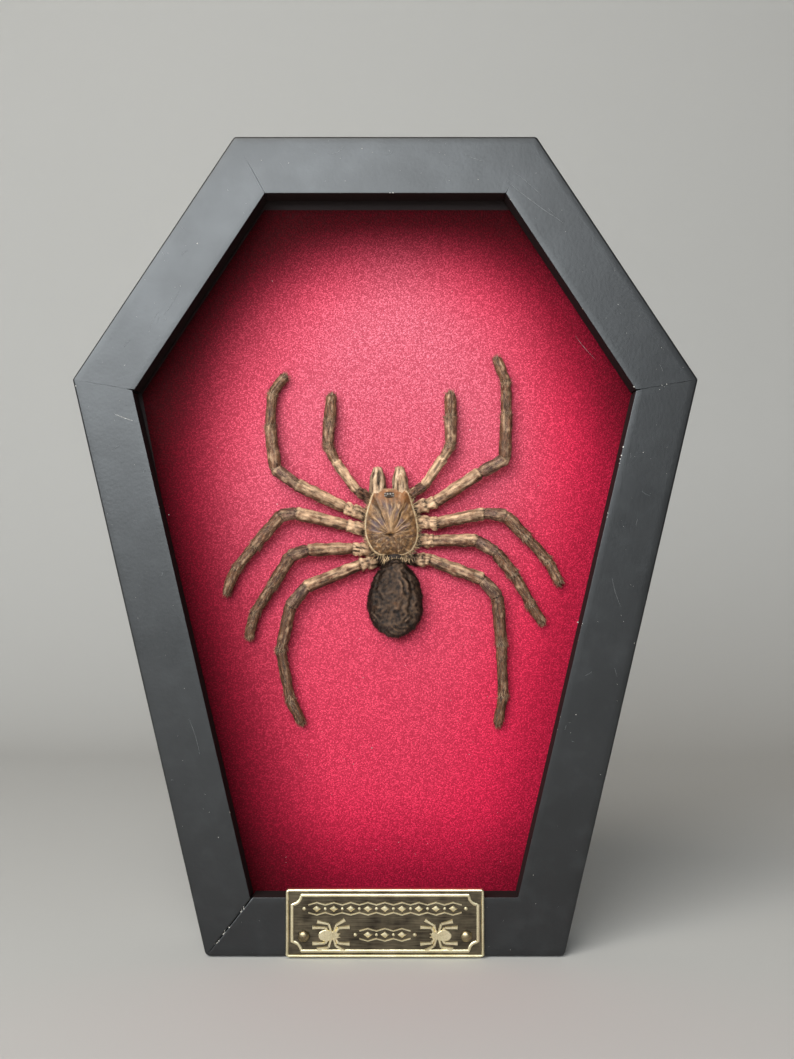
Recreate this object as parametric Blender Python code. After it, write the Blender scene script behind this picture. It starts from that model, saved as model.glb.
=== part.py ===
"""A dried tarantula in a coffin-shaped shadow box, at real size, in metres.

The front faces -Y and +Z is up. The origin is the middle of the foot, which is the
lower face of the bottom rail. Left and right are as seen from the front.
"""

import math

import bmesh
import bpy
from mathutils import Vector

MM = 0.001

# The coffin shape, outside edge to outside edge
FRAME_HEIGHT = 210 * MM
TOP_WIDTH = 78.7 * MM
SHOULDER_WIDTH = 161 * MM
BOTTOM_WIDTH = 91.3 * MM
SHOULDER_HEIGHT = 147 * MM

# The rails: a full-width lip in front, and a rabbet cut from the back
RAIL_WIDTH = 14.9 * MM
FRAME_DEPTH = 24 * MM
LIP_DEPTH = 7.1 * MM
RABBET_WIDTH = 6 * MM
RAIL_EDGE_ROUND = 0.7 * MM
EDGE_STEPS = 2
GAP = 0.3 * MM

# What lies in the rabbet
BOARD_CLEARANCE = 0.5 * MM
BOARD_THICKNESS = 3 * MM
SHEET_THICKNESS = 0.4 * MM
SHEET_SHORT_AT_TOP = 2.3 * MM
SHEET_SHORT_AT_UPPER_LEFT = 0.5 * MM

# The nameplate and its pins
PLATE_WIDTH = 50.2 * MM
PLATE_HEIGHT = 17.2 * MM
PLATE_THICKNESS = 1.3 * MM
PLATE_BOTTOM = 0.2 * MM
PLATE_CORNER = 0.9 * MM
PLATE_BORDER = 2 * MM
PLATE_SUNK = 0.3 * MM
PIN_X = 20.5 * MM
PIN_Z = 5.6 * MM
PIN_HEAD_RADIUS = 1.45 * MM
PIN_HEAD_HEIGHT = 0.8 * MM
PIN_SHANK_RADIUS = 0.5 * MM
PIN_SHANK_LENGTH = 6 * MM

# The brads that hold the board, each driven into the rabbet's wall
BRAD_RADIUS = 0.6 * MM
BRAD_IN_WOOD = 4 * MM
BRAD_PROUD = 5 * MM

# The sawtooth hanger
HANGER_LENGTH = 40 * MM
HANGER_HEIGHT = 6.4 * MM
HANGER_THICKNESS = 0.8 * MM
HANGER_LIFT = 1 * MM
HANGER_TAB = 6.5 * MM
TOOTH_COUNT = 8
TOOTH_HEIGHT = 1.4 * MM
NAIL_HEAD_RADIUS = 1.5 * MM
NAIL_HEAD_HEIGHT = 0.5 * MM
NAIL_SHANK_RADIUS = 0.5 * MM
NAIL_SHANK_LENGTH = 7 * MM

ROUND_STEPS = 12

# The spider. Its middle is the pit on top of the carapace, between the second legs.
SPIDER_X = 2 * MM
SPIDER_Z = 107 * MM
CARAPACE_HALF_WIDTH = 6.6 * MM
CARAPACE_HALF_LENGTH = 8.3 * MM
CARAPACE_UP = 3.1 * MM
CARAPACE_MIDDLE = 2.9 * MM
CARAPACE_HALF_HEIGHT = 2.4 * MM
ABDOMEN_HALF_WIDTH = 7 * MM
ABDOMEN_HALF_LENGTH = 9.8 * MM
ABDOMEN_RIGHT = 0.7 * MM
ABDOMEN_UP = -16.3 * MM
ABDOMEN_MIDDLE = 3.8 * MM
ABDOMEN_HALF_HEIGHT = 3.3 * MM
ABDOMEN_NARROWING = 0.14
BODY_SEGMENTS = 20
BODY_RINGS = 12
LIMB_ROUNDNESS = 2
LIMB_SWELL = 1.08

# Joints of each leg, from the hip to the claw: (right, up) from the spider's middle, in mm
LEG_JOINTS = {
    "leg_1_left": (
        (-8, 5.5), (-12.5, 7), (-25, 13), (-30.5, 17), (-32, 28.5), (-31.5, 37), (-28, 42),
    ),
    "leg_1_right": (
        (6.5, 7), (11, 8.5), (22.5, 16), (29, 19.5), (29.5, 31.5), (29.5, 40), (27, 46.5),
    ),
    "leg_2_left": (
        (-8, 1.5), (-12, 2.5), (-25, 5.5), (-29, 5), (-36, -3), (-41, -9), (-43.5, -15.5),
    ),
    "leg_2_right": (
        (7, 3.4), (11.5, 3), (23.5, 5.5), (29, 5), (35, -1), (40.5, -7), (43.5, -13),
    ),
    "leg_3_left": (
        (-6.5, -4), (-10.5, -3.5), (-22, -4), (-26.5, -5.5), (-31.5, -13.5), (-36, -20.5), (-37.5, -27),
    ),
    "leg_3_right": (
        (8, -1.5), (10.5, -1.5), (21.5, -1.5), (26.5, -4.5), (31.5, -10.5), (36, -18.5), (39, -23),
    ),
    "leg_4_left": (
        (-4.8, -7), (-8.5, -7.8), (-22.5, -13.5), (-26.5, -18.5), (-29, -30), (-26.5, -43), (-23.5, -49),
    ),
    "leg_4_right": (
        (7, -6.5), (9.5, -6.5), (23, -11.5), (27, -16), (28, -28.5), (28.5, -42), (27, -49.5),
    ),
}
LEG_HEIGHTS = (2.8, 3.0, 4.0, 3.8, 2.8, 2.0, 1.4)
LEG_RADII = (1.5, 1.6, 1.55, 1.5, 1.3, 1.15, 1.0)

# Joints of each pedipalp, in the same way
PALP_JOINTS = {
    "pedipalp_left": ((-6.5, 10), (-9.5, 11.5), (-15, 19), (-17, 23.5), (-16.5, 30), (-16, 37)),
    "pedipalp_right": ((4.6, 11), (8, 12.5), (13, 20), (15, 23.5), (15, 31), (15, 37.5)),
}
PALP_HEIGHTS = (3.0, 3.1, 3.6, 3.2, 2.4, 1.5)
PALP_RADII = (1.1, 1.2, 1.2, 1.35, 1.4, 0.7)

# The jaws, from the carapace's front edge to the fold of the fangs
CHELICERA_JOINTS = {
    "chelicera_left": ((-4.2, 12.3), (-4.3, 15.5), (-4.2, 17.6)),
    "chelicera_right": ((1.8, 12.3), (1.9, 15.5), (1.8, 17.6)),
}
CHELICERA_HEIGHTS = (3.0, 3.0, 2.4)
CHELICERA_RADII = (1.5, 1.6, 1.1)

EDGE_NAMES = ("top", "upper_right", "lower_right", "bottom", "lower_left", "upper_left")
FRONT_Y = -FRAME_DEPTH / 2
BACK_Y = FRAME_DEPTH / 2
LIP_Y = FRONT_Y + LIP_DEPTH
RABBET_INSET = RAIL_WIDTH - RABBET_WIDTH
SHEET_Y = LIP_Y + GAP
BOARD_Y = SHEET_Y + SHEET_THICKNESS + GAP
BOARD_BACK_Y = BOARD_Y + BOARD_THICKNESS


def clear_scene():
    for old in list(bpy.data.objects):
        bpy.data.objects.remove(old, do_unlink=True)


def make_material(name, colour, roughness, metallic=0.0):
    material = bpy.data.materials.new(name)
    material.use_nodes = True
    shader = material.node_tree.nodes["Principled BSDF"]
    shader.inputs["Base Color"].default_value = (*colour, 1)
    shader.inputs["Roughness"].default_value = roughness
    shader.inputs["Metallic"].default_value = metallic
    return material


def add_object(name, data, material):
    obj = bpy.data.objects.new(name, data)
    bpy.context.scene.collection.objects.link(obj)
    data.materials.append(material)
    return obj


def mesh_object(name, shape, material, smooth=False):
    """Turns a bmesh into an object, with its faces pointing out."""
    bmesh.ops.recalc_face_normals(shape, faces=shape.faces)
    mesh = bpy.data.meshes.new(name)
    shape.to_mesh(mesh)
    shape.free()
    if smooth:
        mesh.shade_smooth()
        mesh.set_sharp_from_angle(angle=math.radians(40))
    return add_object(name, mesh, material)


def loft(rings):
    """A closed bmesh through rings of points that all have the same count."""
    shape = bmesh.new()
    loops = [[shape.verts.new(point) for point in ring] for ring in rings]
    for near, far in zip(loops, loops[1:]):
        for i, point in enumerate(near):
            after = (i + 1) % len(near)
            shape.faces.new((point, near[after], far[after], far[i]))
    shape.faces.new(loops[0])
    shape.faces.new(loops[-1])
    return shape


def prism(outline, y_front, y_back):
    return loft([[(x, y, z) for x, z in outline] for y in (y_front, y_back)])


def turned(profile):
    """A closed bmesh turned about local Z, from (radius, height) pairs that run upwards."""
    rings = []
    for radius, height in profile:
        turns = [math.tau * i / ROUND_STEPS for i in range(ROUND_STEPS)]
        rings.append([(radius * math.cos(turn), radius * math.sin(turn), height) for turn in turns])
    return loft(rings)


def coffin_outline(insets):
    """Corners (x, z), clockwise from the top left, with each edge moved in by its own inset."""
    top, shoulder, bottom = TOP_WIDTH / 2, SHOULDER_WIDTH / 2, BOTTOM_WIDTH / 2
    corners = [
        Vector((-top, FRAME_HEIGHT)),
        Vector((top, FRAME_HEIGHT)),
        Vector((shoulder, SHOULDER_HEIGHT)),
        Vector((bottom, 0)),
        Vector((-bottom, 0)),
        Vector((-shoulder, SHOULDER_HEIGHT)),
    ]
    lines = []
    for i, corner in enumerate(corners):
        along = (corners[(i + 1) % 6] - corner).normalized()
        inwards = Vector((along.y, -along.x))
        lines.append((corner + inwards * insets[i], along))
    moved = []
    for i, (point, along) in enumerate(lines):
        before, before_along = lines[i - 1]
        reach = (point - before).cross(along) / before_along.cross(along)
        moved.append(before + before_along * reach)
    return moved


def edge_frame(index, inset):
    """The middle of one edge of the outline at an inset, its direction, and the way inwards."""
    outline = coffin_outline([inset] * 6)
    start, end = outline[index], outline[(index + 1) % 6]
    along = (end - start).normalized()
    return (start + end) / 2, along, Vector((along.y, -along.x))


def drill(target, name, place, direction, radius, length):
    """A round hole from place inwards along direction, with clearance for a shank."""
    cutter = mesh_object(name, turned(((radius, -2 * MM), (radius, length))), WOOD)
    cutter.location = place
    cutter.rotation_euler = direction.to_track_quat("Z", "Y").to_euler()
    cutter.hide_render = True
    cutter.display_type = "WIRE"
    cut = target.modifiers.new(name, "BOOLEAN")
    cut.operation = "DIFFERENCE"
    cut.solver = "EXACT"
    cut.object = cutter


def add_headed_pin(name, head_radius, head_height, shank_radius, shank_length, material):
    """A pin with a domed head above z = 0 and its shank below."""
    profile = [(shank_radius * 0.3, -shank_length), (shank_radius, -shank_length + shank_radius)]
    profile += [(shank_radius, 0), (head_radius, 0)]
    profile += [(head_radius * math.cos(turn), head_height * math.sin(turn)) for turn in (0.5, 1.0, 1.4)]
    return mesh_object(name, turned(profile), material, smooth=True)


def add_rail(index):
    """One mitred rail of L section, with its long edges rounded."""
    profile = (
        (0, FRONT_Y),
        (RAIL_WIDTH, FRONT_Y),
        (RAIL_WIDTH, LIP_Y),
        (RABBET_INSET, LIP_Y),
        (RABBET_INSET, BACK_Y),
        (0, BACK_Y),
    )
    outlines = [coffin_outline([inset] * 6) for inset, _ in profile]
    rings = []
    for corner, way in ((index, 1), ((index + 1) % 6, -1)):
        mitre = (outlines[1][corner] - outlines[0][corner]).normalized()
        _, along, _ = edge_frame(index, 0)
        shift = along * way * GAP / 2 / abs(along.cross(mitre))
        places = [outline[corner] + shift for outline in outlines]
        rings.append([(place.x, y, place.y) for place, (_, y) in zip(places, profile)])
    shape = loft(rings)
    shape.verts.ensure_lookup_table()
    rounded = []
    for corner in (0, 1, 5):
        rounded.append(shape.edges.get((shape.verts[corner], shape.verts[corner + len(profile)])))
    bmesh.ops.bevel(
        shape, geom=rounded, offset=RAIL_EDGE_ROUND, segments=EDGE_STEPS, profile=0.5, affect="EDGES"
    )
    return mesh_object("rail_" + EDGE_NAMES[index], shape, BLACK_PAINT)


def add_board_and_sheet():
    board_inset = RABBET_INSET + BOARD_CLEARANCE
    outline = coffin_outline([board_inset] * 6)
    mesh_object("backing_board", prism(outline, BOARD_Y, BOARD_BACK_Y), FIBREBOARD)
    insets = [board_inset] * 6
    insets[EDGE_NAMES.index("top")] = RAIL_WIDTH + SHEET_SHORT_AT_TOP
    insets[EDGE_NAMES.index("upper_left")] = RAIL_WIDTH + SHEET_SHORT_AT_UPPER_LEFT
    outline = coffin_outline(insets)
    mesh_object("backing_sheet", prism(outline, SHEET_Y, SHEET_Y + SHEET_THICKNESS), RED_SHEET)


def add_brad(index, rail):
    """A brad across the back of the board, driven square into the rabbet's wall."""
    middle, _, inwards = edge_frame(index, RABBET_INSET)
    name = "brad_" + EDGE_NAMES[index]
    y = BOARD_BACK_Y + GAP + BRAD_RADIUS
    profile = ((BRAD_RADIUS * 0.3, -BRAD_IN_WOOD), (BRAD_RADIUS, -BRAD_IN_WOOD + BRAD_RADIUS))
    brad = mesh_object(name, turned((*profile, (BRAD_RADIUS, BRAD_PROUD))), STEEL, smooth=True)
    place = Vector((middle.x, y, middle.y))
    direction = Vector((inwards.x, 0, inwards.y))
    brad.location = place
    brad.rotation_euler = direction.to_track_quat("Z", "Y").to_euler()
    drill(rail, name + "_hole", place, -direction, BRAD_RADIUS + GAP, BRAD_IN_WOOD + GAP)


def add_nameplate(rail):
    """The plate with a raised border, and two pins through it into the bottom rail."""
    half_width = PLATE_WIDTH / 2 - PLATE_CORNER
    low, high = PLATE_BOTTOM + PLATE_CORNER, PLATE_BOTTOM + PLATE_HEIGHT - PLATE_CORNER
    outline = []
    for quarter, (x, z) in enumerate(
        ((half_width, high), (-half_width, high), (-half_width, low), (half_width, low))
    ):
        for step in range(4):
            turn = math.pi / 2 * (quarter + step / 3)
            outline.append((x + PLATE_CORNER * math.cos(turn), z + PLATE_CORNER * math.sin(turn)))
    back = FRONT_Y - GAP
    front = back - PLATE_THICKNESS
    shape = prism(outline, front, back)
    face = min(shape.faces, key=lambda face: face.calc_center_median().y)
    bmesh.ops.recalc_face_normals(shape, faces=shape.faces)
    bmesh.ops.inset_region(shape, faces=[face], thickness=PLATE_BORDER)
    bmesh.ops.translate(shape, vec=(0, PLATE_SUNK, 0), verts=face.verts)
    plate = mesh_object("nameplate", shape, BRASS)
    for side, x in (("left", -PIN_X), ("right", PIN_X)):
        name = "nameplate_pin_" + side
        head_y = front + PLATE_SUNK - GAP
        pin = add_headed_pin(
            name, PIN_HEAD_RADIUS, PIN_HEAD_HEIGHT, PIN_SHANK_RADIUS, PIN_SHANK_LENGTH, DARK_BRASS
        )
        pin.location = (x, head_y, PIN_Z)
        pin.rotation_euler = (math.pi / 2, 0, 0)
        place = Vector((x, front, PIN_Z))
        for target in (plate, rail):
            hole = f"{name}_hole_in_{target.name}"
            drill(target, hole, place, Vector((0, 1, 0)), PIN_SHANK_RADIUS + GAP, PIN_SHANK_LENGTH)


def add_hanger(rail):
    """A strip with flat ends nailed to the rail and a raised middle with teeth below."""
    middle_z = FRAME_HEIGHT - RABBET_INSET / 2
    high, low = middle_z + HANGER_HEIGHT / 2, middle_z - HANGER_HEIGHT / 2
    half = HANGER_LENGTH / 2
    span = 2 * (half - HANGER_TAB - HANGER_LIFT)
    stations = [(-half, 0, 0), (-half + HANGER_TAB, 0, 0)]
    for i in range(2 * TOOTH_COUNT + 1):
        x = -span / 2 + span * i / (2 * TOOTH_COUNT)
        stations.append((x, HANGER_LIFT, TOOTH_HEIGHT * (i % 2)))
    stations += [(half - HANGER_TAB, 0, 0), (half, 0, 0)]
    rings = []
    for x, lift, notch in stations:
        y = BACK_Y + GAP + lift
        back = y + HANGER_THICKNESS
        rings.append([(x, y, low + notch), (x, back, low + notch), (x, back, high), (x, y, high)])
    hanger = mesh_object("hanger", loft(rings), STEEL)
    for side, x in (("left", -half + HANGER_TAB / 2), ("right", half - HANGER_TAB / 2)):
        name = "hanger_nail_" + side
        nail = add_headed_pin(
            name, NAIL_HEAD_RADIUS, NAIL_HEAD_HEIGHT, NAIL_SHANK_RADIUS, NAIL_SHANK_LENGTH, STEEL
        )
        nail.location = (x, BACK_Y + 2 * GAP + HANGER_THICKNESS, middle_z)
        nail.rotation_euler = (-math.pi / 2, 0, 0)
        place = Vector((x, BACK_Y + GAP + HANGER_THICKNESS, middle_z))
        for target in (hanger, rail):
            hole = f"{name}_hole_in_{target.name}"
            drill(target, hole, place, Vector((0, -1, 0)), NAIL_SHANK_RADIUS + GAP, NAIL_SHANK_LENGTH)


def add_limb(name, joints, heights, radii, material):
    """A tapering limb on the sheet, a little fuller in the middle of each segment."""
    stations = []
    for (right, up), height, radius in zip(joints, heights, radii):
        place = Vector((SPIDER_X + right * MM, SHEET_Y - height * MM, SPIDER_Z + up * MM))
        if stations:
            last_place, last_radius = stations[-1]
            stations.append(((last_place + place) / 2, LIMB_SWELL * (last_radius + radius * MM) / 2))
        stations.append((place, radius * MM))
    curve = bpy.data.curves.new(name, "CURVE")
    curve.dimensions = "3D"
    curve.bevel_depth = 1
    curve.bevel_resolution = LIMB_ROUNDNESS
    curve.use_fill_caps = True
    spline = curve.splines.new("POLY")
    spline.points.add(len(stations) - 1)
    spline.use_smooth = True
    for point, (place, radius) in zip(spline.points, stations):
        point.co = (*place, 1)
        point.radius = radius
    return add_object(name, curve, material)


def add_carapace():
    """A low shield, widest a little behind its middle, square in front and blunt behind."""
    shape = bmesh.new()
    bmesh.ops.create_uvsphere(shape, u_segments=BODY_SEGMENTS, v_segments=BODY_RINGS, radius=1)
    for vert in shape.verts:
        x, y, up = vert.co
        squared = math.copysign(abs(up) ** 1.5, up)
        spread = (1 - abs(squared) ** 3) ** 0.5 / max((1 - up * up) ** 0.5, 0.05)
        spread = min(spread, 1.25) * (1 - 0.1 * up)
        vert.co.x = x * spread * CARAPACE_HALF_WIDTH
        vert.co.y = y * spread * CARAPACE_HALF_HEIGHT
        vert.co.z = up * CARAPACE_HALF_LENGTH
    cephalothorax = mesh_object("cephalothorax", shape, CARAPACE, smooth=True)
    cephalothorax.location = (SPIDER_X, SHEET_Y - CARAPACE_MIDDLE, SPIDER_Z + CARAPACE_UP)


def add_abdomen():
    """An egg, narrower towards the waist."""
    shape = bmesh.new()
    bmesh.ops.create_uvsphere(shape, u_segments=BODY_SEGMENTS, v_segments=BODY_RINGS, radius=1)
    for vert in shape.verts:
        narrowing = 1 - ABDOMEN_NARROWING * vert.co.z
        vert.co.x *= ABDOMEN_HALF_WIDTH * narrowing
        vert.co.y *= ABDOMEN_HALF_HEIGHT
        vert.co.z *= ABDOMEN_HALF_LENGTH
    abdomen = mesh_object("abdomen", shape, ABDOMEN, smooth=True)
    abdomen.location = (
        SPIDER_X + ABDOMEN_RIGHT,
        SHEET_Y - ABDOMEN_MIDDLE,
        SPIDER_Z + ABDOMEN_UP,
    )


def add_spider():
    add_carapace()
    add_abdomen()
    for name, joints in LEG_JOINTS.items():
        add_limb(name, joints, LEG_HEIGHTS, LEG_RADII, LEG_CUTICLE)
    for name, joints in PALP_JOINTS.items():
        add_limb(name, joints, PALP_HEIGHTS, PALP_RADII, LEG_CUTICLE)
    for name, joints in CHELICERA_JOINTS.items():
        add_limb(name, joints, CHELICERA_HEIGHTS, CHELICERA_RADII, PALE_CUTICLE)


clear_scene()

BLACK_PAINT = make_material("black_paint", (0.012, 0.012, 0.013), 0.42)
FIBREBOARD = make_material("fibreboard", (0.06, 0.035, 0.025), 0.85)
RED_SHEET = make_material("red_sheet", (0.42, 0.012, 0.055), 0.5)
BRASS = make_material("antique_brass", (0.42, 0.34, 0.2), 0.35, 1.0)
DARK_BRASS = make_material("dark_brass", (0.24, 0.18, 0.1), 0.4, 1.0)
STEEL = make_material("zinc_plated_steel", (0.5, 0.5, 0.48), 0.4, 1.0)
WOOD = make_material("bare_wood", (0.4, 0.26, 0.13), 0.7)
CARAPACE = make_material("carapace", (0.22, 0.14, 0.05), 0.6)
ABDOMEN = make_material("abdomen", (0.03, 0.022, 0.018), 0.9)
LEG_CUTICLE = make_material("leg_cuticle", (0.13, 0.095, 0.055), 0.7)
PALE_CUTICLE = make_material("pale_cuticle", (0.5, 0.38, 0.24), 0.6)

rails = [add_rail(index) for index in range(6)]
for rail_index, rail_object in enumerate(rails):
    add_brad(rail_index, rail_object)
add_board_and_sheet()
add_nameplate(rails[EDGE_NAMES.index("bottom")])
add_hanger(rails[EDGE_NAMES.index("top")])
add_spider()
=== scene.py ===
import math

import bpy
import numpy as np
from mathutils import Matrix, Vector, noise


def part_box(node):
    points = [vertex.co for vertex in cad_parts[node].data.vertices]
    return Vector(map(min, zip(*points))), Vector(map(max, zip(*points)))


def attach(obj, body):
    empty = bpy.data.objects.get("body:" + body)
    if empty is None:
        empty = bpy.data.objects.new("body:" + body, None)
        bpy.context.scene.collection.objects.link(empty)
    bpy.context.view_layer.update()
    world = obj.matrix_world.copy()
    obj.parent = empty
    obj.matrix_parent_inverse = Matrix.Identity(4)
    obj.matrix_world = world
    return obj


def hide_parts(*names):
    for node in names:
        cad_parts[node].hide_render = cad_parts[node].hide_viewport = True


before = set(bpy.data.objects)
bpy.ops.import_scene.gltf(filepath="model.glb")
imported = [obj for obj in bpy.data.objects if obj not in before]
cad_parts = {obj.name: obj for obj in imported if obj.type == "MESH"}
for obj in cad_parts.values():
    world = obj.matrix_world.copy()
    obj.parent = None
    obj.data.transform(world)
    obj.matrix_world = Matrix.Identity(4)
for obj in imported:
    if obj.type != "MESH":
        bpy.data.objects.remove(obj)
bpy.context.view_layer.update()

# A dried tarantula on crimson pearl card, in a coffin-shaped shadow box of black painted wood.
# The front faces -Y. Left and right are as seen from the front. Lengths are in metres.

MM = 0.001
rng = np.random.default_rng(7)


# ---------------------------------------------------------------- places read from the frame

EDGES = ("top", "upper_right", "lower_right", "bottom", "lower_left", "upper_left")
rail_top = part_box("rail_top")
rail_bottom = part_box("rail_bottom")
FRONT_Y = rail_top[0].y
BACK_Y = rail_top[1].y
HEIGHT = rail_top[1].z
RAIL_WIDTH = rail_top[1].z - rail_top[0].z
TOP_HALF = rail_top[1].x
SHOULDER_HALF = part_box("rail_lower_right")[1].x
SHOULDER_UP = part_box("rail_lower_right")[1].z
BOTTOM_HALF = rail_bottom[1].x
SHEET_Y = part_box("backing_sheet")[0].y
LIP_Y = SHEET_Y - 0.3 * MM
RABBET = 6 * MM

head_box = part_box("cephalothorax")
SPIDER_X = (head_box[0].x + head_box[1].x) / 2
SPIDER_Z = (head_box[0].z + head_box[1].z) / 2 - 3.1 * MM


# ---------------------------------------------------------------- helpers for materials


def linear(code):
    """A linear colour from an sRGB hex code."""
    channels = [int(code[i : i + 2], 16) / 255 for i in (0, 2, 4)]
    return (*[c / 12.92 if c <= 0.04045 else ((c + 0.055) / 1.055) ** 2.4 for c in channels], 1.0)


def per(size_mm):
    """The texture scale at which one feature is size_mm across."""
    return 1 / (size_mm * MM)


def node(tree, kind, inputs=None, give=None, **settings):
    """Adds a node with its settings and returns one output: the one named by give, or its first in use.

    Each input is a value, the hex code of a colour, or the output of another node.
    """
    made = tree.nodes.new("ShaderNode" + kind)
    for name, value in settings.items():
        setattr(made, name, value)
    for socket, value in (inputs or {}).items():
        if isinstance(value, bpy.types.NodeSocket):
            tree.links.new(value, made.inputs[socket])
        else:
            made.inputs[socket].default_value = linear(value) if isinstance(value, str) else value
    return made.outputs[give] if give else next(output for output in made.outputs if output.enabled)


def start_material(name, **values):
    """A material whose shader has these plain values, its node tree, and its shader."""
    material = bpy.data.materials.new(name)
    material.use_nodes = True
    tree = material.node_tree
    shader = tree.nodes["Principled BSDF"]
    for socket, value in values.items():
        shader.inputs[socket.replace("_", " ")].default_value = value
    return material, tree, shader


def finish_material(material, shader, **outputs):
    """Links each output to the shader's socket of that name, and gives back the material."""
    for socket, output in outputs.items():
        material.node_tree.links.new(output, shader.inputs[socket.replace("_", " ")])
    return material


# ---------------------------------------------------------------- materials


def satin_enamel_on_wood():
    """Black enamel under clear varnish: satin sheen, faint brush waves, worn edges. Its walls stayed dull."""
    material, tree, shader = start_material(
        "satin_enamel_on_wood", IOR=1.5, Specular_IOR_Level=0.2, Coat_Roughness=0.34, Coat_IOR=1.45
    )
    place = node(tree, "TexCoord", give="Object")
    worn = node(tree, "Attribute", give="Fac", attribute_name="wear")
    wall = node(tree, "Attribute", give="Fac", attribute_name="wall")
    cloud = node(tree, "TexNoise", {"Vector": place, "Scale": per(14), "Detail": 4.0})
    peel = node(tree, "TexNoise", {"Vector": place, "Scale": per(0.9), "Detail": 3.0})
    flake = node(tree, "TexNoise", {"Vector": place, "Scale": per(0.8), "Detail": 5.0})
    smear = node(tree, "TexNoise", {"Vector": place, "Scale": per(5), "Detail": 6.0})
    hazed = node(tree, "MapRange", {"Value": smear, "From Min": 0.48, "From Max": 0.75, "To Max": 0.3})
    paint = node(tree, "Mix", {0: hazed, 6: "0b0c0d", 7: "2b2d2e"}, data_type="RGBA")
    chance = node(tree, "Math", {0: flake, 1: worn}, operation="MULTIPLY")
    chipped = node(tree, "MapRange", {"Value": chance, "From Min": 0.64, "From Max": 0.68})
    colour = node(tree, "Mix", {0: chipped, 6: paint, 7: "a59c8c"}, data_type="RGBA")
    stained = node(tree, "Mix", {0: wall, 6: colour, 7: "1f1413"}, data_type="RGBA")
    gloss = node(
        tree, "MapRange", {"Value": cloud, "From Min": 0.3, "From Max": 0.7, "To Min": 0.3, "To Max": 0.54}
    )
    dulled = node(tree, "Mix", {0: wall, 2: gloss, 3: 0.9})
    varnished = node(tree, "Math", {0: 1.0, 1: wall}, operation="SUBTRACT")
    height = node(tree, "Math", {0: peel, 1: cloud}, operation="ADD")
    relief = node(tree, "Bump", {"Height": height, "Strength": 0.5, "Distance": 0.04 * MM})
    return finish_material(
        material, shader, Base_Color=stained, Roughness=dulled, Coat_Weight=varnished, Normal=relief,
        Coat_Normal=relief,
    )


def embossed_pearl_card():
    """Crimson card with a pearl coat: fine pebbles with painted glints, a painted pale sheen, and painted
    shade towards the lips.
    """
    material, tree, shader = start_material("embossed_pearl_card", IOR=1.5, Specular_IOR_Level=0.04)
    place = node(tree, "TexCoord", give="Object")
    faded = node(tree, "Attribute", give="Fac", attribute_name="faded")
    painted_sheen = node(tree, "Attribute", give="Fac", attribute_name="painted_sheen")
    drift = node(tree, "TexNoise", {"Vector": place, "Scale": per(0.9), "Detail": 2.0})
    bend = node(tree, "VectorMath", {0: drift.node.outputs["Color"], "Scale": 0.25 * MM}, operation="SCALE")
    bent = node(tree, "VectorMath", {0: place, 1: bend}, operation="ADD")
    pebble = node(tree, "TexVoronoi", {"Vector": bent, "Scale": per(0.35)})
    grit = node(tree, "TexNoise", {"Vector": place, "Scale": per(0.3), "Detail": 3.0})
    tilt = node(tree, "SeparateColor", {"Color": pebble.node.outputs["Color"]})
    catching = node(tree, "MapRange", {"Value": tilt, "From Min": 0.1, "From Max": 0.85})
    crown = node(
        tree, "MapRange", {"Value": pebble, "From Min": 0.15, "From Max": 0.7, "To Min": 1.0, "To Max": 0.0}
    )
    glint = node(tree, "Math", {0: catching, 1: crown}, operation="MULTIPLY")
    # Painted highlight: glints on single pebbles and a pale pink sheen, mixed into the colour
    pearl = node(tree, "Math", {0: glint, 1: 0.5, 2: 0.17}, operation="MULTIPLY_ADD")
    shining = node(tree, "Math", {0: pearl, 1: painted_sheen}, operation="MULTIPLY")
    # Painted shade: the red darkens towards the lips
    dull = node(tree, "Mix", {0: faded, 6: "380005", 7: "d01b43"}, data_type="RGBA")
    shade = node(tree, "MapRange", {"Value": glint, "From Max": 0.8, "To Min": 0.62, "To Max": 1.4})
    toned = node(tree, "Mix", {0: 1.0, 6: dull, 7: shade}, data_type="RGBA", blend_type="MULTIPLY")
    colour = node(tree, "Mix", {0: shining, 6: toned, 7: "f5b4c3"}, data_type="RGBA")
    height = node(tree, "Math", {0: grit, 1: -0.5, 2: pebble}, operation="MULTIPLY_ADD")
    relief = node(tree, "Bump", {"Height": height, "Strength": 0.8, "Distance": 0.14 * MM}, invert=True)
    gloss = node(
        tree, "MapRange", {"Value": grit, "From Min": 0.3, "From Max": 0.7, "To Min": 0.58, "To Max": 0.42}
    )
    return finish_material(material, shader, Base_Color=colour, Roughness=gloss, Normal=relief)


def thin_fibreboard():
    """Pressed wood fibre: mottled brown behind, near black on its front face."""
    material, tree, shader = start_material("thin_fibreboard", Roughness=0.82, IOR=1.5)
    place = node(tree, "TexCoord", give="Object")
    facing = node(tree, "NewGeometry", give="Normal")
    depth = node(tree, "SeparateXYZ", {"Vector": facing}, give="Y")
    in_front = node(
        tree, "MapRange", {"Value": depth, "From Min": -0.8, "From Max": -0.5, "To Min": 1.0, "To Max": 0.0}
    )
    fibre = node(tree, "TexNoise", {"Vector": place, "Scale": per(1.1), "Detail": 8.0})
    mottle = node(tree, "TexNoise", {"Vector": place, "Scale": per(16), "Detail": 5.0})
    mixed = node(tree, "Math", {0: fibre, 1: mottle}, operation="MULTIPLY")
    spread = node(tree, "MapRange", {"Value": mixed, "From Min": 0.12, "From Max": 0.4})
    brown = node(tree, "Mix", {0: spread, 6: "5d4128", 7: "9a744a"}, data_type="RGBA")
    colour = node(tree, "Mix", {0: in_front, 6: brown, 7: "1e1110"}, data_type="RGBA")
    relief = node(tree, "Bump", {"Height": fibre, "Strength": 0.5, "Distance": 0.08 * MM})
    return finish_material(material, shader, Base_Color=colour, Normal=relief)


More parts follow.
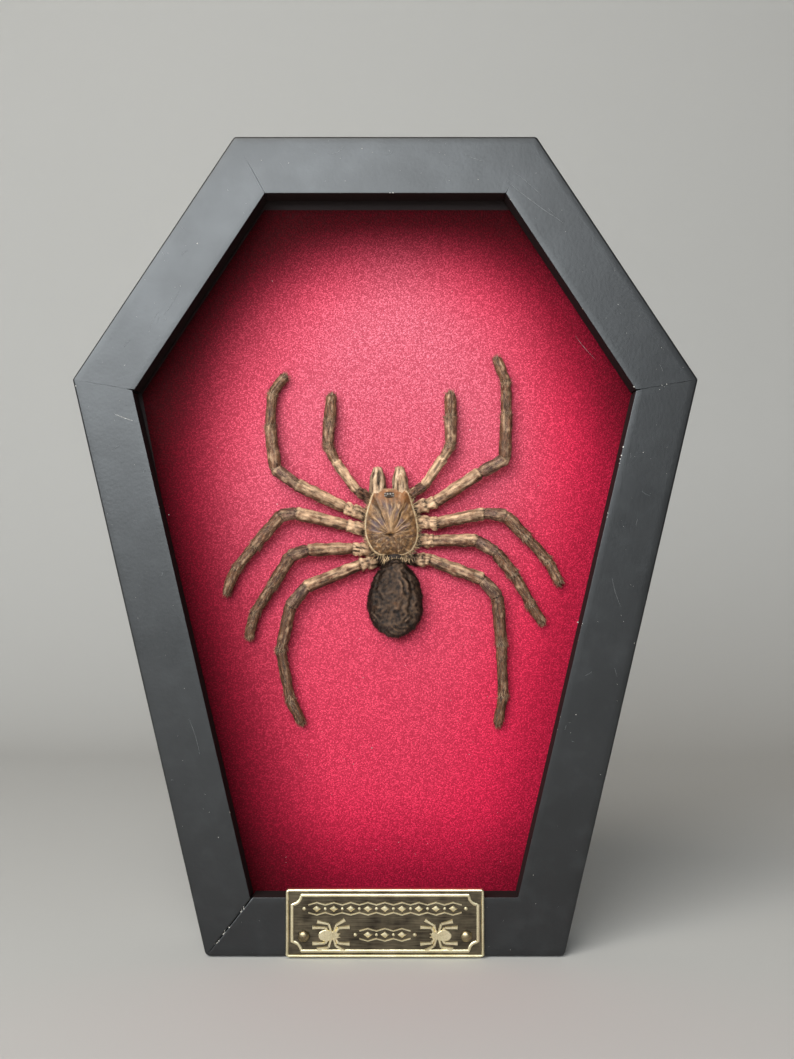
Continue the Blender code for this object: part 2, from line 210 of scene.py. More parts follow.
def aged_brass(name, low, high, roughness, brushed):
    """Brass darkened in a bath and rubbed back: streaks along X where brushed, stains in the low spots."""
    material, tree, shader = start_material(name, Metallic=1.0, Roughness=roughness)
    place = node(tree, "TexCoord", give="Object")
    stretched = node(tree, "Mapping", {"Vector": place, "Scale": (brushed, 1.0, 1.0)})
    streak = node(tree, "TexNoise", {"Vector": stretched, "Scale": per(0.35), "Detail": 4.0})
    stain = node(tree, "TexNoise", {"Vector": place, "Scale": per(3.5), "Detail": 5.0})
    both = node(tree, "Math", {0: streak, 1: stain}, operation="ADD")
    share = node(tree, "MapRange", {"Value": both, "From Min": 0.7, "From Max": 1.3})
    colour = node(tree, "Mix", {0: share, 6: low, 7: high}, data_type="RGBA")
    relief = node(tree, "Bump", {"Height": streak, "Strength": 0.3, "Distance": 0.03 * MM})
    return finish_material(material, shader, Base_Color=colour, Normal=relief)


def zinc_plate():
    """Thin zinc on pressed steel: dull grey with a cloudy grain."""
    material, tree, shader = start_material("zinc_plate", Metallic=1.0, Roughness=0.38)
    place = node(tree, "TexCoord", give="Object")
    cloud = node(tree, "TexNoise", {"Vector": place, "Scale": per(1.6), "Detail": 6.0})
    colour = node(tree, "Mix", {0: cloud, 6: "8d8b86", 7: "c9c8c2"}, data_type="RGBA")
    gloss = node(tree, "MapRange", {"Value": cloud, "To Min": 0.28, "To Max": 0.5})
    return finish_material(material, shader, Base_Color=colour, Roughness=gloss)


def limb_cuticle(name, dark, middle, cream):
    """Dried cuticle under short flat hair: long streaks, cream at the hips, and painted shade that darkens
    the furrows.
    """
    material, tree, shader = start_material(name, Roughness=0.58, IOR=1.45, Specular_IOR_Level=0.3)
    skin = node(tree, "Attribute", give="Vector", attribute_name="skin")
    # pale holds painted highlights besides the pale skin, and deep holds painted shade besides the dark
    # joints
    marks = ("pale", "deep", "mauve")
    pale, deep, mauve = (node(tree, "Attribute", give="Fac", attribute_name=mark) for mark in marks)
    along = node(tree, "Mapping", {"Vector": skin, "Scale": (0.22, 1.0, 1.0)})
    streak = node(tree, "TexNoise", {"Vector": along, "Scale": 1 / 0.45, "Detail": 4.0, "Roughness": 0.6})
    blotch = node(tree, "TexNoise", {"Vector": skin, "Scale": 1 / 1.8, "Detail": 4.0})
    grain = node(tree, "TexNoise", {"Vector": along, "Scale": 1 / 0.16, "Detail": 2.0})
    share = node(tree, "MapRange", {"Value": streak, "From Min": 0.32, "From Max": 0.66})
    brown = node(tree, "Mix", {0: share, 6: dark, 7: middle}, data_type="RGBA")
    plum = node(tree, "Mix", {0: share, 6: "3a2626", 7: "8f6f66"}, data_type="RGBA")
    tinted = node(tree, "Mix", {0: mauve, 6: brown, 7: plum}, data_type="RGBA")
    spotted = node(tree, "Math", {0: blotch, 1: 2.2, 2: -1.1}, operation="MULTIPLY_ADD")
    pale_and_lit = node(tree, "Math", {0: pale, 1: spotted}, operation="ADD", use_clamp=True)
    skin_colour = node(tree, "Mix", {0: pale_and_lit, 6: tinted, 7: cream}, data_type="RGBA")
    colour = node(tree, "Mix", {0: deep, 6: skin_colour, 7: "21130c"}, data_type="RGBA")
    relief = node(tree, "Bump", {"Height": grain, "Strength": 0.55, "Distance": 0.1 * MM})
    return finish_material(material, shader, Base_Color=colour, Normal=relief)


def carapace_shield():
    """The shield's horn: golden brown, plum-dark wedges, and pale rays that run out from its pit."""
    material, tree, shader = start_material(
        "carapace_shield", Roughness=0.5, IOR=1.5, Specular_IOR_Level=0.35
    )
    place = node(tree, "TexCoord", give="Object")
    mottle = node(tree, "TexNoise", {"Vector": place, "Scale": per(1.0), "Detail": 5.0})
    spread = node(tree, "MapRange", {"Value": mottle, "From Min": 0.3, "From Max": 0.7})
    speck = node(tree, "TexNoise", {"Vector": place, "Scale": per(0.3), "Detail": 3.0})
    colour = node(tree, "Mix", {0: spread, 6: "4c301a", 7: "9a7046"}, data_type="RGBA")
    # Tan head, plum wedges, pale rays, dark furrows and cream rim, each laid over the last
    layers = (
        ("tan", "93592c"), ("wedge", "5a413f"), ("ray", "dbb286"), ("deep", "1d120d"), ("rim", "f8e6c4")
    )
    for mark, code in layers:
        share = node(tree, "Attribute", give="Fac", attribute_name=mark)
        colour = node(tree, "Mix", {0: share, 6: colour, 7: code}, data_type="RGBA")
    relief = node(tree, "Bump", {"Height": speck, "Strength": 0.5, "Distance": 0.08 * MM})
    return finish_material(material, shader, Base_Color=colour, Normal=relief)


def shrunken_abdomen_skin():
    """Dried folds of skin: grey-brown ridges, near black between, partly painted light and shade; rusty
    spots.
    """
    material, tree, shader = start_material("shrunken_abdomen_skin", Roughness=0.72, IOR=1.4)
    place = node(tree, "TexCoord", give="Object")
    ridge = node(tree, "Attribute", give="Fac", attribute_name="ridge")
    mottle = node(tree, "TexNoise", {"Vector": place, "Scale": per(2.2), "Detail": 6.0})
    fine = node(tree, "TexNoise", {"Vector": place, "Scale": per(0.3), "Detail": 4.0})
    rust = node(tree, "MapRange", {"Value": mottle, "From Min": 0.62, "From Max": 0.74, "To Max": 0.5})
    skin = node(tree, "Mix", {0: ridge, 6: "180e09", 7: "755a45"}, data_type="RGBA")
    colour = node(tree, "Mix", {0: rust, 6: skin, 7: "6b4428"}, data_type="RGBA")
    relief = node(tree, "Bump", {"Height": fine, "Strength": 0.7, "Distance": 0.1 * MM})
    return finish_material(material, shader, Base_Color=colour, Normal=relief)


def body_hair(name, dark, pale):
    """Dry hair and bristle: each one its own tone between dark and pale."""
    material, tree, shader = start_material(name, Roughness=0.5, IOR=1.55, Specular_IOR_Level=0.3)
    tone = node(tree, "Attribute", give="Fac", attribute_name="tone")
    colour = node(tree, "Mix", {0: tone, 6: dark, 7: pale}, data_type="RGBA")
    return finish_material(material, shader, Base_Color=colour)


def mottled(name, size_mm, detail, dark, pale, **values):
    """A plain material whose colour wanders between dark and pale in clouds of size_mm."""
    material, tree, shader = start_material(name, **values)
    place = node(tree, "TexCoord", give="Object")
    cloud = node(tree, "TexNoise", {"Vector": place, "Scale": per(size_mm), "Detail": detail})
    colour = node(tree, "Mix", {0: cloud, 6: dark, 7: pale}, data_type="RGBA")
    return finish_material(material, shader, Base_Color=colour)


# ---------------------------------------------------------------- helpers for shapes


def add_piece(name, mesh, stands_for=()):
    """Puts a mesh in the scene under the root body, and hides the CAD nodes it stands for."""
    piece = bpy.data.objects.new(name, mesh)
    bpy.context.scene.collection.objects.link(piece)
    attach(piece, "root")
    if stands_for:
        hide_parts(*stands_for)


def build_piece(name, points, faces, material, slot, stands_for=(), smooth=True, sharp=40, marks=None):
    """Makes a mesh piece from arrays, turns its faces outwards, and puts it in the scene.

    faces is an array of triangles or quads, or a list of both. marks are values for each point.
    """
    mesh = bpy.data.meshes.new(name)
    mesh.from_pydata(points.tolist(), [], [list(face) for face in faces])
    mesh.materials.append(material)
    for mark, values in (marks or {}).items():
        kind, field = ("FLOAT_VECTOR", "vector") if values.ndim == 2 else ("FLOAT", "value")
        made = mesh.attributes.new(mark, kind, "POINT")
        made.data.foreach_set(field, values.astype(np.float32).ravel())
    if smooth:
        mesh.shade_smooth()
        mesh.set_sharp_from_angle(angle=math.radians(sharp))
    mesh.update()
    mesh.calc_loop_triangles()
    corners = np.empty(len(mesh.loop_triangles) * 3, np.int32)
    mesh.loop_triangles.foreach_get("vertices", corners)
    if np.linalg.det(points[corners.reshape(-1, 3)]).sum() < 0:
        mesh.flip_normals()
    add_piece(name, mesh, stands_for)


def skin_faces(count, around):
    """Quads over a tube of rings, with each end closed by one face."""
    grid = np.arange(count * around).reshape(count, around)
    after = np.roll(grid, -1, axis=1)
    quads = np.stack([grid[:-1], after[:-1], after[1:], grid[1:]], -1).reshape(-1, 4).tolist()
    return quads + [grid[0][::-1].tolist(), grid[-1].tolist()]


def level(x, z, y):
    """Points with these x and z, all at one y."""
    return np.stack([x, np.full(len(x), y), z], -1)


def unit(vectors):
    """The same directions, one long."""
    return vectors / np.maximum(np.linalg.norm(vectors, axis=-1, keepdims=True), 1e-12)


def ripple(points, size_mm, shift=0.0):
    """Smooth noise from -1 to 1 at each point, with features of size_mm."""
    scaled = points.reshape(-1, 3) / (size_mm * MM) + shift
    return np.array([noise.noise(point) for point in scaled]).reshape(points.shape[:-1])


def smooth_step(low, high, values):
    """0 at low, 1 at high, and an even curve in between."""
    share = np.clip((values - low) / (high - low), 0, 1)
    return share * share * (3 - 2 * share)


ENAMEL = satin_enamel_on_wood()
CARD = embossed_pearl_card()
FIBREBOARD = thin_fibreboard()
FIELD_BRASS = aged_brass("brushed_dark_brass", "352f28", "736956", 0.42, 0.06)
RAISED_BRASS = aged_brass("rubbed_bright_brass", "d4c69c", "fbf0cc", 0.34, 1.0)
PIN_BRASS = aged_brass("darkened_pin_brass", "6a5e49", "ab9c7c", 0.34, 1.0)
ZINC = zinc_plate()
LEG_SKIN = limb_cuticle("leg_cuticle", "362013", "8b5d40", "eec49c")
JAW_SKIN = limb_cuticle("jaw_cuticle", "6b4a32", "ba8f6a", "f6d4b0")
SHIELD = carapace_shield()
ABDOMEN_SKIN = shrunken_abdomen_skin()
LEG_HAIR = body_hair("leg_hair", "2a1710", "e8bf97")
SHIELD_HAIR = body_hair("shield_hair", "422716", "ecc898")
DARK_HAIR = body_hair("abdomen_hair", "0c0706", "6e5240")
# The lens of an eye, dried to a cloudy dark bead that still shines; the pale grey in its mottle is partly
# painted highlight
EYE_LENS = mottled("dried_eye_lens", 0.3, 2.0, "3b3431", "b9b1a8", Roughness=0.15, IOR=1.5)
# Chalky primer and dust where paint has gone: pale grey, with a powdery grain
PRIMER = mottled("bare_primer", 0.4, 4.0, "a7a199", "e6e2da", Roughness=0.8, IOR=1.5)
# A rub mark in the enamel: a shade paler and duller than the paint round it
SCUFF = mottled("scuffed_enamel", 1.5, 4.0, "4a4b4b", "8f9190", Roughness=0.55, IOR=1.5)


# ---------------------------------------------------------------- the six rails

OUTER_ROUND = 0.6 * MM
INNER_ROUND = 0.16 * MM
BACK_ROUND = 0.7 * MM
# Clockwise from the top left: how round each outer corner is, how far its mitre has opened at the
# inside, how far in from the outside the paint still bridges it, and the nick at its inner corner
CORNER_ROUND = np.array([1.2, 1.2, 0.8, 1.7, 1.7, 0.8]) * MM
MITRE_OPEN = np.array([0.08, 0.08, 0.1, 0.0, 0.28, 0.05]) * MM
MITRE_CLOSED = np.array([6.5, 13.4, 0.5, 20, 1.5, 2.5]) * MM
MITRE_NICK = np.array([0.0, 0.1, 0.35, 0.0, 0.0, 0.35]) * MM
# The bottom left mitre crumbled along its joint
CRUMBLING_CORNER = 4
# The lower left rail was ripped a little narrower than the rest
RAIL_WIDTHS = [RAIL_WIDTH - (0.5 * MM if edge == "lower_left" else 0) for edge in EDGES]

CORNERS = np.array(
    [
        (-TOP_HALF, HEIGHT), (TOP_HALF, HEIGHT), (SHOULDER_HALF, SHOULDER_UP), (BOTTOM_HALF, 0),
        (-BOTTOM_HALF, 0), (-SHOULDER_HALF, SHOULDER_UP),
    ]
)
ALONG = unit(np.roll(CORNERS, -1, axis=0) - CORNERS)
INWARDS = np.stack([ALONG[:, 1], -ALONG[:, 0]], -1)
MITRE_WAY = unit(INWARDS + np.roll(INWARDS, 1, axis=0))
MITRE_WAY /= (MITRE_WAY * INWARDS).sum(-1, keepdims=True)
HALF_TURN = np.arccos(np.clip((ALONG * np.roll(ALONG, 1, axis=0)).sum(-1), -1, 1)) / 2


def coffin(inset):
    """The outline's corners (x, z), clockwise from the top left, moved in by inset."""
    return CORNERS + MITRE_WAY * inset


def rounded(start, corner, end, radius):
    """Points of the arc that rounds a square corner of a profile."""
    start, corner, end = np.array(start), np.array(corner), np.array(end)
    back, onward = unit(start - corner), unit(end - corner)
    centre = corner + (back + onward) * radius
    return [
        tuple(centre - onward * radius * math.cos(turn) - back * radius * math.sin(turn))
        for turn in np.linspace(0, math.pi / 2, 7)
    ]


def rail_profile(width):
    """(inset, y) round a rail's L section, close enough together to take dents."""
    corners = [
        (0, BACK_Y), (0, FRONT_Y), (width, FRONT_Y), (width, LIP_Y), (RAIL_WIDTH - RABBET, LIP_Y),
        (RAIL_WIDTH - RABBET, BACK_Y),
    ]
    rounds = {0: BACK_ROUND, 1: OUTER_ROUND, 2: INNER_ROUND}
    points = []
    for i, corner in enumerate(corners):
        if i in rounds:
            points += rounded(corners[i - 1], corner, corners[i + 1], rounds[i])
        else:
            points.append(corner)
    filled = []
    for here, there in zip(points, points[1:] + points[:1]):
        pieces = max(1, round(math.dist(here, there) / (1.5 * MM)))
        step = (np.array(there) - here) / pieces
        filled += [tuple(here + step * k) for k in range(pieces)]
    return np.array(filled)


def add_rail(index):
    """One rail: mitred ends, softened corners, a slightly wavy hand-painted face, worn edges."""
    width = RAIL_WIDTHS[index]
    profile = rail_profile(width)
    ends = (index, (index + 1) % 6)
    way, inwards = ALONG[index], INWARDS[index]
    length = np.linalg.norm(CORNERS[ends[1]] - CORNERS[ends[0]])
    near = np.array([0, 0.1, 0.25, 0.5, 0.8]) * MM
    middle = np.linspace(1.2 * MM, length - 1.2 * MM, int(length / (1.1 * MM)))
    stations = np.concatenate([near, middle, length - near[::-1]])
    to_ends = np.stack([stations, length - stations])
    rounding = np.zeros(len(stations))
    for corner, distance in zip(ends, to_ends):
        radius = CORNER_ROUND[corner]
        reach = radius * math.tan(HALF_TURN[corner])
        chord = radius * math.sin(HALF_TURN[corner]) * np.clip(1 - distance / reach, 0, 1)
        rounding += radius - np.sqrt(radius**2 - chord**2)
    outer_share = np.clip(1 - profile[:, 0] / (3 * MM), 0, 1)
    insets = (profile[:, 0] + rounding[:, None] * outer_share)[..., None]
    opened = [
        smooth_step(-1 * MM, 2.5 * MM, insets - MITRE_CLOSED[corner]) * (MITRE_OPEN[corner] > 0)
        for corner in ends
    ]
    nicked = smooth_step(width - 1.1 * MM, width, insets)
    gaps = [
        (share * MITRE_OPEN[corner] + nicked * MITRE_NICK[corner]) / 2 / math.cos(HALF_TURN[corner])
        for share, corner in zip(opened, ends)
    ]
    start = CORNERS[ends[0]] + MITRE_WAY[ends[0]] * insets + way * gaps[0]
    end = CORNERS[ends[1]] + MITRE_WAY[ends[1]] * insets - way * gaps[1]
    share = (stations / length)[:, None, None]
    plan = start * (1 - share) + end * share
    depth = np.broadcast_to(profile[:, 1], plan.shape[:2])
    points = np.stack([plan[..., 0], depth, plan[..., 1]], -1)
    tangent = unit(np.roll(profile, -1, axis=0) - np.roll(profile, 1, axis=0))
    outwards = np.stack([tangent[:, 1] * inwards[0], -tangent[:, 0], tangent[:, 1] * inwards[1]], -1)
    dents = 0.025 * MM * (ripple(points, 12) - 1) + 0.008 * MM * (ripple(points, 2.5) - 1)
    arris = sum(
        share[..., 0] * (MITRE_OPEN[corner] > 0.1 * MM) * (1 - smooth_step(0, 0.3 * MM, distance))[:, None]
        for share, corner, distance in zip(opened, ends, to_ends)
    )
    dents -= 0.07 * MM * arris
    points += dents[..., None] * outwards
    inner = np.exp(-((np.hypot(profile[:, 0] - width, profile[:, 1] - FRONT_Y) / (0.55 * MM)) ** 2))
    outer = np.exp(-((np.hypot(profile[:, 0], profile[:, 1] - FRONT_Y) / (0.75 * MM)) ** 2))
    nearest = np.where(to_ends[0] < to_ends[1], ends[0], ends[1])
    crumbling = (nearest == CRUMBLING_CORNER)[:, None] * 0.97 * arris
    wear = np.maximum(np.maximum(inner, 0.8 * outer)[None, :], crumbling)
    wall = (profile[:, 0] > width - 0.01 * MM) & (profile[:, 1] > FRONT_Y + 0.1 * MM)
    wall = np.broadcast_to(np.where(wall, 1.0, 0.0), wear.shape)
    build_piece(
        "painted_rail_" + EDGES[index], points.reshape(-1, 3), skin_faces(*plan.shape[:2]), ENAMEL,
        "black_paint", stands_for=["rail_" + EDGES[index]], sharp=50,
        marks={"wear": wear.ravel(), "wall": wall.ravel()},
    )


for index in range(6):
    add_rail(index)


# ---------------------------------------------------------------- chips, dust and scratches


def flake(x, z, y, size_mm, thick=0.05 * MM):
    """A closed flake with a ragged outline. Returns points and faces."""
    count = int(rng.integers(5, 9))
    turns = np.arange(count) * 2 * math.pi / count
    reach = size_mm * MM / 2 * rng.uniform(0.5, 1.1, count)
    stretch, lean = rng.uniform(0.5, 1.0), rng.uniform(0, math.pi)
    right, up = reach * np.cos(turns), reach * stretch * np.sin(turns)
    ring_x = x + right * math.cos(lean) - up * math.sin(lean)
    ring_z = z + right * math.sin(lean) + up * math.cos(lean)
    back = level(ring_x, ring_z, y + thick)
    front = level(x + (ring_x - x) * 0.8, z + (ring_z - z) * 0.8, y)
    return np.concatenate([back, front]), skin_faces(2, count)


def scratch(x0, z0, x1, z1, y, bend_mm, width_mm, thick=0.06 * MM):
    """A closed sliver along a shallow curve, thin at both ends. Returns points and faces."""
    share = np.linspace(0, 1, 26)[:, None]
    start, end = np.array([x0, z0]), np.array([x1, z1])
    way = unit(end - start)
    side = np.array([way[1], -way[0]])
    middle = start + (end - start) * share + side * bend_mm * MM * (4 * share * (1 - share))
    width = width_mm * MM / 2 * np.sin(np.pi * np.clip(share, 0.02, 0.98)) ** 0.5
    width = width * rng.uniform(0.45, 1.1, (26, 1))
    rings = []
    for away, deep in ((-1, thick), (-0.6, 0), (0.6, 0), (1, thick)):
        edge = middle + side * away * width
        rings.append(level(*edge.T, y + deep))
    return np.stack(rings, 1).reshape(-1, 3), skin_faces(26, 4)


def gather(shapes):
    """Joins (points, faces) pairs into one."""
    points, faces, start = [], [], 0
    for some, loops in shapes:
        points.append(some)
        faces += [[corner + start for corner in loop] for loop in loops]
        start += len(some)
    return np.concatenate(points), faces


def spot_on_rails(nearest, farthest, end):
    """A random place on a rail's face: its inset is between two in mm, its share of the way past end."""
    edge = int(rng.integers(6))
    inset = rng.uniform(nearest, farthest) * MM
    here, there = coffin(inset)[edge], coffin(inset)[(edge + 1) % 6]
    return here + (there - here) * rng.uniform(end, 1 - end)


PAINT_TOP = FRONT_Y - 0.02 * MM
SCRATCHES = (
    # x, z of each end, bend and width, in millimetres
    (-69.5, 137.9, -64.6, 136.1, 0.1, 0.12),
    (-14.8, 205.3, -10.4, 207.3, 0.5, 0.16),
    (31.5, 198.2, 46.0, 187.4, 0.3, 0.14),
    (33.5, 200.5, 40.5, 194.3, -0.2, 0.1),
    (-57.0, 163.5, -53.0, 170.0, 0.3, 0.1),
    (-60.5, 160.0, -58.2, 164.6, -0.2, 0.1),
    (20.0, 205.6, 25.5, 203.4, 0.2, 0.1),
    (58.0, 96.0, 60.2, 88.5, 0.3, 0.08),
    (-50.0, 60.0, -47.2, 51.0, -0.3, 0.08),
    (49.0, 158.0, 54.0, 152.0, 0.2, 0.1),
)
CHIPS = (
    # x, z and size, in millimetres
    (-60.2, 178.0, 0.45), (-48.5, 182.0, 0.4), (-79.5, 145.1, 0.45), (48.6, 61.0, 0.4),
    (49.2, 84.5, 0.5), (63.6, 79.2, 0.35), (-6.0, 206.8, 0.3), (24.0, 198.7, 0.3),
    (-67.0, 150.5, 0.3), (-42.3, 30.0, 0.3), (12.0, 9.0, 0.25), (-55.4, 112.0, 0.25),
    (66.2, 128.0, 0.3), (37.6, 20.5, 0.3), (-25.0, 203.0, 0.25), (70.5, 144.2, 0.25),
    # along the inner arris of the lower right rail, its upper corner and the top rail
    (61.1, 129.4, 0.6), (60.6, 127.2, 0.5), (60.3, 126.3, 0.55), (60.1, 125.2, 0.35), (57.0, 112.4, 0.5),
    (56.8, 111.4, 0.3), (50.4, 84.2, 0.35), (63.9, 144.9, 0.5), (2.0, 195.2, 0.45), (1.2, 195.2, 0.3),
)
marks = [flake(x * MM, z * MM, PAINT_TOP, size) for x, z, size in CHIPS]
for _ in range(120):
    marks.append(flake(*spot_on_rails(0.8, 13.8, 0.02), PAINT_TOP, rng.uniform(0.1, 0.2)))
for corner, count in ((2, 3), (CRUMBLING_CORNER, 16)):
    # The mitres that opened lost paint along both sides
    for _ in range(count):
        spot = coffin(rng.uniform(3, RAIL_WIDTH / MM - 0.4) * MM)[corner] + rng.normal(0, 0.13 * MM, 2)
        marks.append(flake(*spot, PAINT_TOP, rng.uniform(0.15, 0.42)))
marks.append(scratch(*[value * MM for value in SCRATCHES[0][:4]], PAINT_TOP, *SCRATCHES[0][4:]))
build_piece("chips_and_dust", *gather(marks), PRIMER, "black_paint", smooth=False)
rubs = [scratch(*[v * MM for v in line[:4]], PAINT_TOP, *line[4:]) for line in SCRATCHES[1:]]
for _ in range(26):
    spot = spot_on_rails(1.5, 13, 0.06)
    lean, reach = rng.uniform(0, math.pi), rng.uniform(0.6, 2.6) * MM
    half = np.array([math.cos(lean), math.sin(lean)]) * reach / 2
    rubs.append(scratch(*(spot - half), *(spot + half), PAINT_TOP, rng.normal(0, 0.15), 0.07))
build_piece("rub_marks", *gather(rubs), SCUFF, "black_paint", smooth=False)


# ---------------------------------------------------------------- card and board


# Painted shade along each edge, clockwise from the top: how bright the card is kept at the lip, and the
# distances in mm over which the painted shade lifts
PAINTED_SHADE_AT_LIPS = ((0.02, 4, 30), (0.25, 1, 23), (0.6, 0, 17), (0.44, 0, 26), (0.13, 0, 30), (0.02, 3, 31))
# The same for the painted pale sheen on its pearl coat
PAINTED_SHEEN_AT_LIPS = ((0, 5, 35), (0.02, 3, 40), (0.05, 2, 36), (0, 3, 30), (0, 3, 30), (0, 5, 44))

# How far in from the outside the card's own edges lie, hidden under the lips
CARD_EDGE = RAIL_WIDTH - 5.5 * MM
DUST_THICK = 0.16 * MM


def add_card():
    """The card: it lies a little wavy, and its edges hide under the lips."""
    cad_low, cad_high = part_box("backing_sheet")
    edge = coffin(CARD_EDGE)
    rows = np.linspace(cad_low.z, cad_high.z, 170)
    right_z, right_x = edge[[3, 2, 1], 1], edge[[3, 2, 1], 0]
    # The upper left side was cut to fall just short of the lip
    short = (RAIL_WIDTH + 0.5 * MM) * np.array([0, 1, 1]) + CARD_EDGE * np.array([1, 0, 0])
    left = [coffin(inset)[corner] for inset, corner in zip(short, (4, 5, 0))]
    left_z, left_x = np.array(left)[:, 1], np.array(left)[:, 0]
    right = np.interp(rows, right_z, right_x)
    left = np.interp(rows, left_z, left_x)
    share = np.linspace(0, 1, 120)
    across = left[:, None] + (right - left)[:, None] * share
    up = np.broadcast_to(rows[:, None], across.shape)
    depth = np.full(across.shape, SHEET_Y)
    front = np.stack([across, depth, up], -1)
    front[..., 1] += 0.05 * MM * (1 + ripple(front, 28)) + 0.012 * MM * (1 + ripple(front, 6))
    back = front[:, ::-1].copy()
    back[..., 1] = cad_high.y
    points = np.concatenate([front, back], axis=1)
    # Painted shade: the red is brightest in the middle and darkest under the lips, most of all the top and
    # left ones
    away = [
        ((points[..., ::2] - lip) * inward).sum(-1) / MM for lip, inward in zip(coffin(RAIL_WIDTH), INWARDS)
    ]

    def from_edges(table):
        share = 1.0
        for distance, (least, start, reach) in zip(away, table):
            share = share * (least + (1 - least) * smooth_step(start, reach, distance))
        return share

    # The painted pale sheen is strongest in the upper half
    height = [16, 40, 64, 100, 135, 170]
    painted_sheen = from_edges(PAINTED_SHEEN_AT_LIPS) * np.interp(points[..., 2] / MM, height, [0.05, 0.13, 0.24, 0.45, 0.68, 0.88])
    faded = from_edges(PAINTED_SHADE_AT_LIPS)
    # A faint painted sheen also follows the painted light
    painted_sheen += 0.022 * faded
    build_piece(
        "pearl_card", points.reshape(-1, 3), skin_faces(*points.shape[:2]), CARD, "red_sheet",
        stands_for=["backing_sheet"], marks={"faded": faded.ravel(), "painted_sheen": painted_sheen.ravel()},
    )


add_card()
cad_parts["backing_board"].data.materials[0] = FIBREBOARD
for edge in EDGES:
    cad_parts["brad_" + edge].data.materials[0] = ZINC

CARD_DUST = (
    # x, z and size, in millimetres
    (9.0, 132.3, 0.3), (22.2, 134.6, 0.4), (23.5, 140.2, 0.3), (-28.4, 115.1, 0.4), (17.0, 64.0, 0.35),
    (-3.5, 51.6, 0.35), (5.2, 73.0, 0.3), (-12.0, 150.0, 0.25), (40.0, 120.0, 0.25), (-44.0, 130.0, 0.25),
)
specks = [flake(x * MM, z * MM, SHEET_Y - 0.02 * MM, size, DUST_THICK) for x, z, size in CARD_DUST]
for _ in range(90):
    x, z = rng.uniform(-30, 30), rng.uniform(20, 185)
    specks.append(flake(x * MM, z * MM, SHEET_Y - 0.01 * MM, rng.uniform(0.12, 0.26), DUST_THICK))
build_piece("dust_on_card", *gather(specks), PRIMER, "red_sheet", smooth=False)


# ---------------------------------------------------------------- nameplate and pins

plate_low, plate_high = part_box("nameplate")
PLATE_X = (plate_low.x + plate_high.x) / 2
PLATE_Z = (plate_low.z + plate_high.z) / 2
PLATE_HALF = np.array([plate_high.x - plate_low.x, plate_high.z - plate_low.z]) / 2
PLATE_BACK = plate_high.y
PLATE_FRONT = plate_low.y
FIELD_Y = PLATE_FRONT + 0.3 * MM


def rectangle(inset, radius, hollow=False):
    """A closed clockwise path round the plate. Its corners are round, or notched by a hollow quarter."""
    half = PLATE_HALF - inset - radius * (not hollow)
    quarters = ((1, 1, 90), (1, -1, 0), (-1, -1, -90), (-1, 1, 180))
    path = []
    for right, up, first in quarters:
        for turn in np.linspace(first, first - 90, 9):
            if hollow:
                turn = 2 * first - turn + 90
            angle = math.radians(turn)
            x = PLATE_X + right * half[0] + radius * math.cos(angle)
            path.append((x, PLATE_Z + up * half[1] + radius * math.sin(angle)))
    return np.array(path)


def inward_from(path):
    """The way in from each point of a closed clockwise path of (x, z)."""
    way = unit(np.roll(path, -1, axis=0) - np.roll(path, 1, axis=0))
    return np.stack([way[:, 1], -way[:, 0]], -1)


def sweep_round(path, section):
    """Carries a section of (inset, y) round a closed clockwise path of (x, z)."""
    section = np.array(section)
    plan = path[:, None] + inward_from(path)[:, None] * section[None, :, :1]
    depth = np.broadcast_to(section[:, 1], plan.shape[:2])
    points = np.stack([plan[..., 0], depth, plan[..., 1]], -1).reshape(-1, 3)
    count, around = len(path), len(section)
    grid = np.arange(count * around).reshape(count, around)
    after, beside = np.roll(grid, -1, axis=0), np.roll(grid, -1, axis=1)
    corner = np.roll(after, -1, axis=1)
    return points, np.stack([grid, beside, corner, after], -1).reshape(-1, 4).tolist()


def raised_bar(places, widths, low, high):
    """A bar along places (x, z), with sloping sides. Widths are full widths."""
    places = np.array(places, float)
    way = unit(np.gradient(places, axis=0))
    side = np.stack([way[:, 1], -way[:, 0]], -1)
    rings = []
    for share, y in ((-1, low), (-0.6, high), (0.6, high), (1, low)):
        edge = places + side * share * np.array(widths)[:, None] / 2
        rings.append(level(*edge.T, y))
    return np.stack(rings, 1).reshape(-1, 3), skin_faces(len(places), 4)


DOMED = ((1, 0), (0.93, 0.45), (0.72, 0.85), (0.35, 1))
STAMPED = ((1, 0), (0.93, 0.8), (0.86, 1), (0.3, 1))


def raised_lobe(x, z, half_width, half_height, low, high, sides=22, shape=DOMED):
    """A low lobe with an oval outline. With four sides it is a lozenge."""
    turns = np.arange(sides) * 2 * math.pi / sides
    rings = []
    for reach, rise in shape:
        right = x + half_width * reach * np.cos(turns)
        up = z + half_height * reach * np.sin(turns)
        rings.append(level(right, up, low + (high - low) * rise))
    return np.stack(rings).reshape(-1, 3), skin_faces(4, sides)


# How far the emblems stand below the plate's middle
EMBLEM_DROP = 3.1 * MM
# Hip, knee and tip of one side's legs: (ahead, up) from the emblem's middle, in mm
EMBLEM_LEGS = (
    ((1.0, 0.5), (1.9, 1.9), (4.7, 2.1)), ((0.6, 0.7), (1.3, 2.6), (3.5, 3.9)),
    ((0.1, 0.7), (-0.6, 2.9), (-3.5, 3.5)), ((-0.5, 0.7), (-1.5, 1.9), (-4.7, 2.0)),
)


